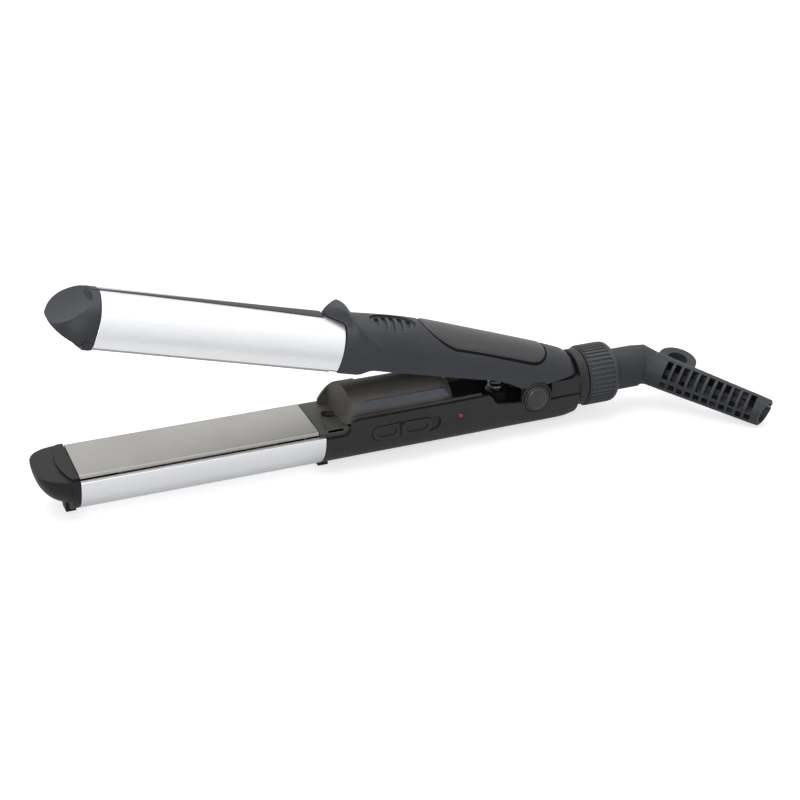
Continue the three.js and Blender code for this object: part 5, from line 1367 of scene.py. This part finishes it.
PATCH_SHARES = [1.0, 0.985, 0.95, 0.9, 0.8, 0.7, 0.6, 0.5, 0.4, 0.3, 0.2, 0.1]


def inlay_patch(margin, low, high):
    centre = ((INLAY_START + INLAY_END) / 2, 0)
    return patch(inlay_outline(margin), centre, low, lambda share: high, PATCH_SHARES)


def grip_inlay_shape():
    centre = ((INLAY_START + INLAY_END) / 2, 0)
    edge = 0.05

    def height(share):
        fall = clamped((share - 1 + edge) / edge)
        return INLAY_PROUD - 0.45 * mm * (1 - math.sqrt(max(1 - fall * fall, 0)))
    shares = [1.0, 0.997, 0.99, 0.98, 0.965, 0.95] + PATCH_SHARES[3:]
    return patch(inlay_outline(0), centre, -INLAY_DEPTH + 0.1 * mm, height, shares)


def painted_groove_shade_shape():
    """A near-black sheet down in the groove round the inlay: painted shade that shows as a dark line round the
    inlay.
    """
    centre = ((INLAY_START + INLAY_END) / 2, 0)
    outline = inlay_outline(INLAY_GROOVE - 0.03 * mm)
    return patch(outline, centre, -INLAY_DEPTH, lambda share: -0.22 * mm, PATCH_SHARES)


def vent_dish():
    outline = arc(VENT_X, VENT_ASIDE, VENT_LENGTH / 2, 0, 360, 64, VENT_WIDTH / 2)[:-1]
    return patch(outline, (VENT_X, VENT_ASIDE), -0.75 * mm, lambda share: 2 * mm, PATCH_SHARES)


def vent_slots():
    slots = []
    for i in range(shape().vents):
        x = VENT_X + (i - (shape().vents - 1) / 2) * VENT_PITCH
        room = 1 - ((abs(x - VENT_X) + VENT_SLOT / 2) / (VENT_LENGTH / 2 - 0.4 * mm)) ** 2
        half = max((VENT_WIDTH / 2 - 0.7 * mm) * math.sqrt(max(room, 0.05)), mm)
        slant = 0.8 * mm
        low, high = VENT_ASIDE - half, VENT_ASIDE + half
        front = [(x - VENT_SLOT / 2 + slant * t, mixed(low, high, (t + 1) / 2)) for t in spread(-1, 1, 10)]
        outline = front + [(u + VENT_SLOT, v) for u, v in reversed(front)]
        slots.append(patch(outline, (x, VENT_ASIDE), -1.65 * mm, lambda share: 2 * mm, [1.0, 0.6, 0.3]))
    return together(*slots)


def spine_shape():
    """The thin dark rib that follows the barrel's crest, wider and higher towards the handle."""
    start = UPPER_LEAN * (BARREL_CREST - LIP_DROP) - SEAM - NOSE_RIM_LENGTH
    end = HANDLE_X + UPPER_LEAN * (BARREL_CREST - LIP_DROP) - GUARD_FRONT
    rings = []
    for share in spread(0, 1, 24):
        half = mixed(0.7 * mm, 3 * mm, share ** 1.6)
        high = mixed(0.15 * mm, 0.3 * mm, share)
        x = mixed(start, end, share)
        swing = math.degrees(half / BARREL_RADIUS)
        outline = arc(0, BARREL_DROP, BARREL_RADIUS + high, 90 - swing, 90 + swing, 16)
        outline += arc(0, BARREL_DROP, BARREL_RADIUS - 0.6 * mm, 90 + swing, 90 - swing, 16)
        rings.append([Vector((x, y, z)) for y, z in outline])
    return loft(rings)


def upper_cover_shape():
    half = PLATE_HALF_WIDTH - SEAM
    deck_low = 0.35 * mm
    wall_x = DECK_X + 8.8 * mm
    end = DOME_END + SEAM
    deck = block(DECK_X, wall_x + mm, -half, half, deck_low, deck_low + DECK_THICKNESS)
    outside = DOME_RADIUS + 1.9 * mm
    inside = DOME_RADIUS + 1.1 * mm
    low = 3.4 * mm
    first = math.degrees(math.asin((low - DOME_CENTRE) / outside))
    section = arc(0, DOME_CENTRE, outside, first, 180 - first, 64)
    first = math.degrees(math.asin((low - DOME_CENTRE) / inside))
    section += arc(0, DOME_CENTRE, inside, 180 - first, first, 64)
    front = arc(0, DOME_CENTRE, outside, 0, 180, 48)
    end_wall = prism("X", [(-half, deck_low), (half, deck_low)] + front, wall_x, wall_x + 1.4 * mm)
    cheek_room = block(DOME_X - CHEEK_AHEAD - 0.8 * mm, DOME_X + mm, DOME_RADIUS - 2 * mm, half + mm,
                       -mm, DOME_RADIUS)
    return together(carved(deck, ("DIFFERENCE", cheek_room.copy())), prism("X", section, wall_x + mm, end),
                    carved(end_wall, ("DIFFERENCE", cheek_room)))


# Operators, one for each piece or group of like pieces

class PieceOperator:
    bl_options = {"REGISTER", "UNDO"}

    def execute(self, context):
        self.build()
        return {"FINISHED"}


class IRON_OT_camera(PieceOperator, bpy.types.Operator):
    """Places the camera at the photographed angle"""
    bl_idname = "iron.camera"
    bl_label = "Camera"

    def build(self):
        yaw, pitch, roll = math.radians(22.7), math.radians(27.25), math.radians(0.74)
        place = ORIGIN + Vector((-96.59, -535.73, 299.55)) * mm
        forward = Vector((math.sin(yaw) * math.cos(pitch), math.cos(yaw) * math.cos(pitch), -math.sin(pitch)))
        level = Vector((math.cos(yaw), -math.sin(yaw), 0))
        upright = level.cross(forward)
        right = level * math.cos(roll) + upright * math.sin(roll)
        up = upright * math.cos(roll) - level * math.sin(roll)
        camera = bpy.data.objects.new("Camera", bpy.data.cameras.new("Camera"))
        camera.data.lens = studio().lens
        camera.data.sensor_width = 36
        camera.data.clip_start = 0.01
        camera.matrix_world = Matrix((right, up, -forward)).transposed().to_4x4()
        camera.matrix_world.translation = place
        bpy.context.scene.collection.objects.link(camera)
        bpy.context.scene.camera = camera


class IRON_OT_barrels(PieceOperator, bpy.types.Operator):
    """Builds the polished half-round barrel shells and the satin plates of both arms"""
    bl_idname = "iron.barrels"
    bl_label = "Barrels and plates"

    def build(self):
        arms = (("lower", LOWER_ARM, LOWER_ARM), ("upper", UPPER_MIRROR, UPPER_LEANED))
        for arm, place, shell_place in arms:
            piece(f"{arm}_barrel_skin", barrel_shell_shape(), shell_place, f"{arm}_arm",
                  barrel_metal(), [f"{arm}_barrel_shell"], bevel=0.22 * mm, segments=3)
            piece(f"{arm}_plate_face", plate_shape(), place, f"{arm}_arm", plate_coating(),
                  [f"{arm}_plate"], bevel=0.25 * mm, segments=3)


class IRON_OT_noses(PieceOperator, bpy.types.Operator):
    """Builds the dished cool-touch nose caps"""
    bl_idname = "iron.noses"
    bl_label = "Nose caps"

    def build(self):
        edge = shape().edge
        piece("lower_nose", lower_nose_shape(), LOWER_ARM, "lower_arm",
              nose_plastic("lower"), ["lower_nose_cap"], bevel=edge)
        piece("upper_nose", upper_nose_shape(), UPPER_MIRROR, "upper_arm",
              nose_plastic("upper"), ["upper_nose_cap"], bevel=edge)


class IRON_OT_lower_handle(PieceOperator, bpy.types.Operator):
    """Builds the lower handle shell, its inner cover and the screw in its deck"""
    bl_idname = "iron.lower_handle"
    bl_label = "Lower handle"

    def build(self):
        edge = shape().edge
        piece("lower_handle_skin", lower_handle_shape(), LOWER_ARM, "lower_arm",
              lower_plastic(), ["lower_handle_shell"], bevel=edge)
        piece("lower_cover", inner_cover_shape(), LOWER_ARM, "lower_arm",
              inner_plastic(), ["lower_inner_cover"], bevel=edge)
        piece("cover_bars", side_bars_shape(), LOWER_ARM, "lower_arm",
              bar_plastic(), bevel=0.2 * mm)
        screw = screw_shape(LOWER_SCREW_X, -DECK_DROP - 1.3 * mm)
        piece("lower_deck_screw", screw, LOWER_ARM, "lower_arm", black_steel(), ["lower_cover_screw"])


class IRON_OT_controls(PieceOperator, bpy.types.Operator):
    """Builds the slide switch and the red indicator lens"""
    bl_idname = "iron.controls"
    bl_label = "Switch and lamp"

    def build(self):
        switch = plastic("Satin switch plastic", rgb(finish().lower_plastic), 0.36, relief=0.006)
        piece("switch_button", slider_shape(), LOWER_ARM, "switch",
              switch, ["switch_slider"], bevel=0.18 * mm)
        lens = plastic("Clear red lens", rgb(finish().lamp), 0.12, relief=0.001, coat=0.6)
        piece("lamp_lens", lens_shape(), LOWER_ARM, "lower_arm", lens, ["indicator_lens"],
              smooth=50)


class IRON_OT_hinge(PieceOperator, bpy.types.Operator):
    """Builds the domed hinge caps"""
    bl_idname = "iron.hinge"
    bl_label = "Hinge caps"

    def build(self):
        gloss = plastic("Semi-gloss cap plastic", rgb(finish().lower_plastic), 0.22, relief=0.002,
                        contrast=0.05, gloss=0.6)
        for name, side in (("near", -1), ("far", 1)):
            piece(f"hinge_dome_{name}", cap_shape(side), LOWER_ARM, "lower_arm", gloss,
                  [f"hinge_cap_{name}"], smooth=50)


class IRON_OT_tail(PieceOperator, bpy.types.Operator):
    """Builds the tail yoke with its collar and the ribbed twist ring"""
    bl_idname = "iron.tail"
    bl_label = "Collar and twist ring"

    def build(self):
        piece("tail_collar", tail_yoke_shape(), LOWER_ARM, "lower_arm", lower_plastic(),
              ["tail_yoke"], bevel=0.15 * mm)
        ring = plastic("Ribbed ring plastic", rgb(finish().upper_plastic), finish().satin,
                       relief=0.008, gloss=0.5)
        piece("twist_ring_body", ring_shape(), LOWER_ARM, "twist_ring", ring, ["lock_ring"])
        self.ribs(ring)

    def ribs(self, material):
        carrier = bpy.data.objects.new("twist_ring_ribs", bpy.data.meshes.new("twist_ring_ribs"))
        bpy.context.scene.collection.objects.link(carrier)
        length = RING_END + RING_SKIRT - 2.5 * mm - (RING_X + 0.35 * mm)
        tree = rib_tree()
        ribbing = carrier.modifiers.new("ribs", "NODES")
        ribbing.node_group = tree
        centre = ORIGIN + Vector((RING_X + 0.35 * mm + length / 2, 0, TAIL_Z))
        values = {"Count": shape().ribs, "Radius": RING_RADIUS - 0.35 * mm, "Length": length,
                  "Width": 1.1 * mm, "Depth": 0.9 * mm, "Centre": centre, "Material": material}
        for item in tree.interface.items_tree:
            if item.item_type == "SOCKET" and item.in_out == "INPUT" and item.name in values:
                ribbing[item.identifier] = values[item.name]
        settled(carrier)
        for face in carrier.data.polygons:
            face.use_smooth = True
        carrier.data.set_sharp_from_angle(angle=math.radians(50))
        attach(carrier, "twist_ring")


def rib_tree():
    """Rounded ribs spaced evenly round an axis along x."""
    tree = bpy.data.node_groups.new("Ring ribs", "GeometryNodeTree")
    sockets = [("Count", "NodeSocketInt"), ("Radius", "NodeSocketFloat"), ("Length", "NodeSocketFloat"),
               ("Width", "NodeSocketFloat"), ("Depth", "NodeSocketFloat"), ("Centre", "NodeSocketVector"),
               ("Material", "NodeSocketMaterial")]
    for label, kind in sockets:
        tree.interface.new_socket(name=label, in_out="INPUT", socket_type=kind)
    tree.interface.new_socket(name="Geometry", in_out="OUTPUT", socket_type="NodeSocketGeometry")
    given = tree.nodes.new("NodeGroupInput").outputs
    result = tree.nodes.new("NodeGroupOutput").inputs
    bar = tree.nodes.new("GeometryNodeMeshCylinder")
    bar.inputs["Vertices"].default_value = 10
    bar.inputs["Radius"].default_value = 0.5
    bar.inputs["Depth"].default_value = 1.0
    size = node(tree, "ShaderNodeCombineXYZ", X=given["Depth"], Y=given["Width"], Z=given["Length"])
    sized = node(tree, "GeometryNodeTransform", Geometry=bar.outputs["Mesh"], Scale=size.outputs[0],
                 Rotation=(0, math.radians(90), 0))
    index = tree.nodes.new("GeometryNodeInputIndex").outputs[0]
    turn = sums(tree, "MULTIPLY", sums(tree, "DIVIDE", index, given["Count"]), 2 * math.pi)
    points = node(tree, "GeometryNodeMeshLine", Count=given["Count"], Offset=(0, 0, 0))
    height = sums(tree, "MULTIPLY", sums(tree, "SINE", turn), given["Radius"])
    aside = sums(tree, "MULTIPLY", sums(tree, "COSINE", turn), given["Radius"])
    place = node(tree, "ShaderNodeCombineXYZ", X=0.0, Y=aside, Z=height)
    ring = node(tree, "GeometryNodeSetPosition", Geometry=points.outputs[0], Position=place.outputs[0])
    upright = sums(tree, "SUBTRACT", turn, math.radians(90))
    rotation = node(tree, "ShaderNodeCombineXYZ", X=upright, Y=0.0, Z=0.0)
    spun = node(tree, "FunctionNodeEulerToRotation", Euler=rotation.outputs[0])
    copies = node(tree, "GeometryNodeInstanceOnPoints", Points=ring.outputs[0], Instance=sized.outputs[0],
                  Rotation=spun.outputs[0])
    moved = node(tree, "GeometryNodeTransform", Geometry=copies.outputs[0], Translation=given["Centre"])
    real = node(tree, "GeometryNodeRealizeInstances", Geometry=moved.outputs[0])
    coloured = node(tree, "GeometryNodeSetMaterial", Geometry=real.outputs[0], Material=given["Material"])
    tree.links.new(coloured.outputs[0], result["Geometry"])
    return tree


class IRON_OT_boot(PieceOperator, bpy.types.Operator):
    """Builds the swivelling cord boot with its windows and hang loop"""
    bl_idname = "iron.boot"
    bl_label = "Cord boot"

    def build(self):
        rubber = plastic("Moulded boot rubber", rgb(finish().upper_plastic), 0.5, grain=2600.0,
                         relief=0.015, gloss=0.3)
        stem = rod("X", STEM_RADIUS, YOKE_X + 2 * mm, BOOT_X + mm, (0, 0, TAIL_Z), 48)
        stem.transform(LOWER_ARM)
        boot = boot_shape()
        boot.transform(BOOT_PLACE)
        piece("boot_skin", together(boot, stem), Matrix.Identity(4), "boot",
              rubber, ["cord_boot"], bevel=0.16 * mm)


class IRON_OT_upper_handle(PieceOperator, bpy.types.Operator):
    """Builds the upper handle shell, its grip inlay, inner cover and spine"""
    bl_idname = "iron.upper_handle"
    bl_label = "Upper handle"

    def build(self):
        edge = shape().edge
        piece("upper_handle_skin", upper_handle_shape(), UPPER_ARM, "upper_arm",
              upper_plastic(), ["upper_handle_shell"], bevel=edge)
        gloss = plastic("Semi-gloss inlay", rgb(finish().inlay), 0.3, relief=0.004, contrast=0.06, gloss=0.38)
        piece("inlay_skin", grip_inlay_shape(), UPPER_ARM, "upper_arm", gloss, ["grip_inlay"])
        # Near-black colour for the sheet in the inlay's groove: painted shade, standing in for the shade in the
        # groove.
        seat = plastic("Inlay seat", (0.002, 0.002, 0.002), 0.6, gloss=0.1)
        piece("inlay_seat", painted_groove_shade_shape(), UPPER_ARM, "upper_arm", seat)
        piece("upper_cover", upper_cover_shape(), UPPER_ARM, "upper_arm", inner_plastic(),
              ["upper_inner_cover"], bevel=edge)
        piece("upper_rib", spine_shape(), UPPER_ARM, "upper_arm", upper_plastic(),
              ["upper_spine"])


class IRON_OT_inside(PieceOperator, bpy.types.Operator):
    """Gives the inner parts that keep their plain shape their finishes"""
    bl_idname = "iron.inside"
    bl_label = "Inner parts"

    def build(self):
        ceramic = plastic("Heater ceramic", (0.8, 0.78, 0.72), 0.65, grain=1800.0, relief=0.02, contrast=0.05)
        heat = plastic("Heat-resistant plastic", (0.034, 0.031, 0.027), 0.6, grain=1500.0, relief=0.02)
        board = plastic("Solder-masked board", (0.03, 0.14, 0.06), 0.35, grain=900.0, contrast=0.15)
        finishes = {
            "lower_heater": ceramic, "upper_heater": ceramic, "lower_heater_carrier": heat,
            "upper_heater_carrier": heat, "upper_hinge_bracket": inner_plastic(), "thermal_fuse": steel(),
            "circuit_board": board, "switch_body": lower_plastic(), "hinge_pin": steel(),
            "opening_spring": black_steel(), "swivel_clip": steel(), "upper_cover_screw": steel(),
        }
        for name, material in finishes.items():
            data = frame["nodes"][name].data
            data.materials.clear()
            data.materials.append(material)


class IRON_OT_studio(PieceOperator, bpy.types.Operator):
    """Lays the pale floor and sets the soft lights"""
    bl_idname = "iron.studio"
    bl_label = "Studio"

    def build(self):
        self.floor()
        self.room()
        self.lamp("Overhead softbox", (0.05, 0.1, 0.9), (0.1, 0, 0), (1.2, 0.8), studio().key)
        self.lamp("Side softbox", (-0.3, -0.9, 0.5), (0.1, 0, 0.03), (0.8, 0.6), studio().fill)
        bpy.context.scene.view_settings.view_transform = "Standard"

    def floor(self):
        reach = 4.0
        bm = bmesh.new()
        bmesh.ops.create_grid(bm, x_segments=8, y_segments=8, size=reach)
        floor = loose(bm, "floor")
        material, tree, shader = new_material("Pale studio floor")
        place = node(tree, "ShaderNodeTexCoord").outputs["Object"]
        cloud = node(tree, "ShaderNodeTexNoise", Vector=place, Scale=3.0)
        plug(tree, shader.inputs["Base Color"], tint(tree, cloud.outputs["Fac"], grey(0.62), grey(0.64)))
        shader.inputs["Roughness"].default_value = 0.9
        shader.inputs["Specular IOR Level"].default_value = 0.1
        path = node(tree, "ShaderNodeLightPath").outputs
        seen = sums(tree, "ADD", path["Is Camera Ray"], path["Is Transmission Ray"], clamp=True)
        seen = sums(tree, "MULTIPLY_ADD", path["Is Glossy Ray"], 0.25, seen, clamp=True)
        shader.inputs["Emission Color"].default_value = (1, 1, 1, 1)
        plug(tree, shader.inputs["Emission Strength"], sums(tree, "MULTIPLY", seen, 0.64))
        floor.data.materials.append(material)

    def room(self):
        world = bpy.data.worlds.new("Studio room")
        world.use_nodes = True
        bpy.context.scene.world = world
        tree = world.node_tree
        tree.nodes.clear()
        place = node(tree, "ShaderNodeTexCoord").outputs["Generated"]
        height = node(tree, "ShaderNodeSeparateXYZ", Vector=place).outputs["Z"]
        path = node(tree, "ShaderNodeLightPath")
        mirrored = ranged(tree, height, -0.25, 0.75, 0.5, 1.15)
        extra = sums(tree, "SUBTRACT", mirrored, studio().ambient)
        strength = sums(tree, "MULTIPLY_ADD", path.outputs["Is Glossy Ray"], extra, studio().ambient)
        missing = sums(tree, "SUBTRACT", 1.0, strength)
        back = sums(tree, "MULTIPLY_ADD", path.outputs["Is Camera Ray"], missing, strength)
        light = node(tree, "ShaderNodeBackground", Color=(1, 1, 1, 1), Strength=back)
        out = tree.nodes.new("ShaderNodeOutputWorld")
        tree.links.new(light.outputs[0], out.inputs[0])

    def lamp(self, name, place, target, size, power):
        data = bpy.data.lights.new(name, "AREA")
        data.shape = "RECTANGLE"
        data.size, data.size_y = size
        data.energy = power
        lamp = bpy.data.objects.new(name, data)
        lamp.location = place
        lamp.rotation_euler = (Vector(target) - Vector(place)).to_track_quat("-Z", "Y").to_euler()
        bpy.context.scene.collection.objects.link(lamp)


class IRON_PT_pieces(bpy.types.Panel):
    """Lists the iron's settings and the steps that build it"""
    bl_idname = "IRON_PT_pieces"
    bl_label = "Mini flat iron"
    bl_space_type = "VIEW_3D"
    bl_region_type = "UI"
    bl_category = "Iron"

    def draw(self, context):
        for settings in (context.scene.iron_finish, context.scene.iron_shape, context.scene.iron_studio):
            column = self.layout.column(align=True)
            for key in settings.__annotations__:
                column.prop(settings, key)
        for step in STEPS:
            self.layout.operator(step.bl_idname)


GROUPS = (IronFinish, IronShape, IronStudio)
STEPS = (
    IRON_OT_camera, IRON_OT_barrels, IRON_OT_noses, IRON_OT_lower_handle, IRON_OT_controls, IRON_OT_hinge,
    IRON_OT_tail, IRON_OT_boot, IRON_OT_upper_handle, IRON_OT_inside, IRON_OT_studio,
)


def register():
    for kind in (*GROUPS, *STEPS, IRON_PT_pieces):
        bpy.utils.register_class(kind)
    bpy.types.Scene.iron_finish = bpy.props.PointerProperty(type=IronFinish)
    bpy.types.Scene.iron_shape = bpy.props.PointerProperty(type=IronShape)
    bpy.types.Scene.iron_studio = bpy.props.PointerProperty(type=IronStudio)


def unregister():
    for name in ("iron_finish", "iron_shape", "iron_studio"):
        delattr(bpy.types.Scene, name)
    for kind in (IRON_PT_pieces, *reversed(STEPS), *reversed(GROUPS)):
        bpy.utils.unregister_class(kind)


def main():
    register()
    bpy.ops.iron.camera()
    bpy.ops.iron.barrels()
    bpy.ops.iron.noses()
    bpy.ops.iron.lower_handle()
    bpy.ops.iron.controls()
    bpy.ops.iron.hinge()
    bpy.ops.iron.tail()
    bpy.ops.iron.boot()
    bpy.ops.iron.upper_handle()
    bpy.ops.iron.inside()
    bpy.ops.iron.studio()


if __name__ == "__main__":
    main()
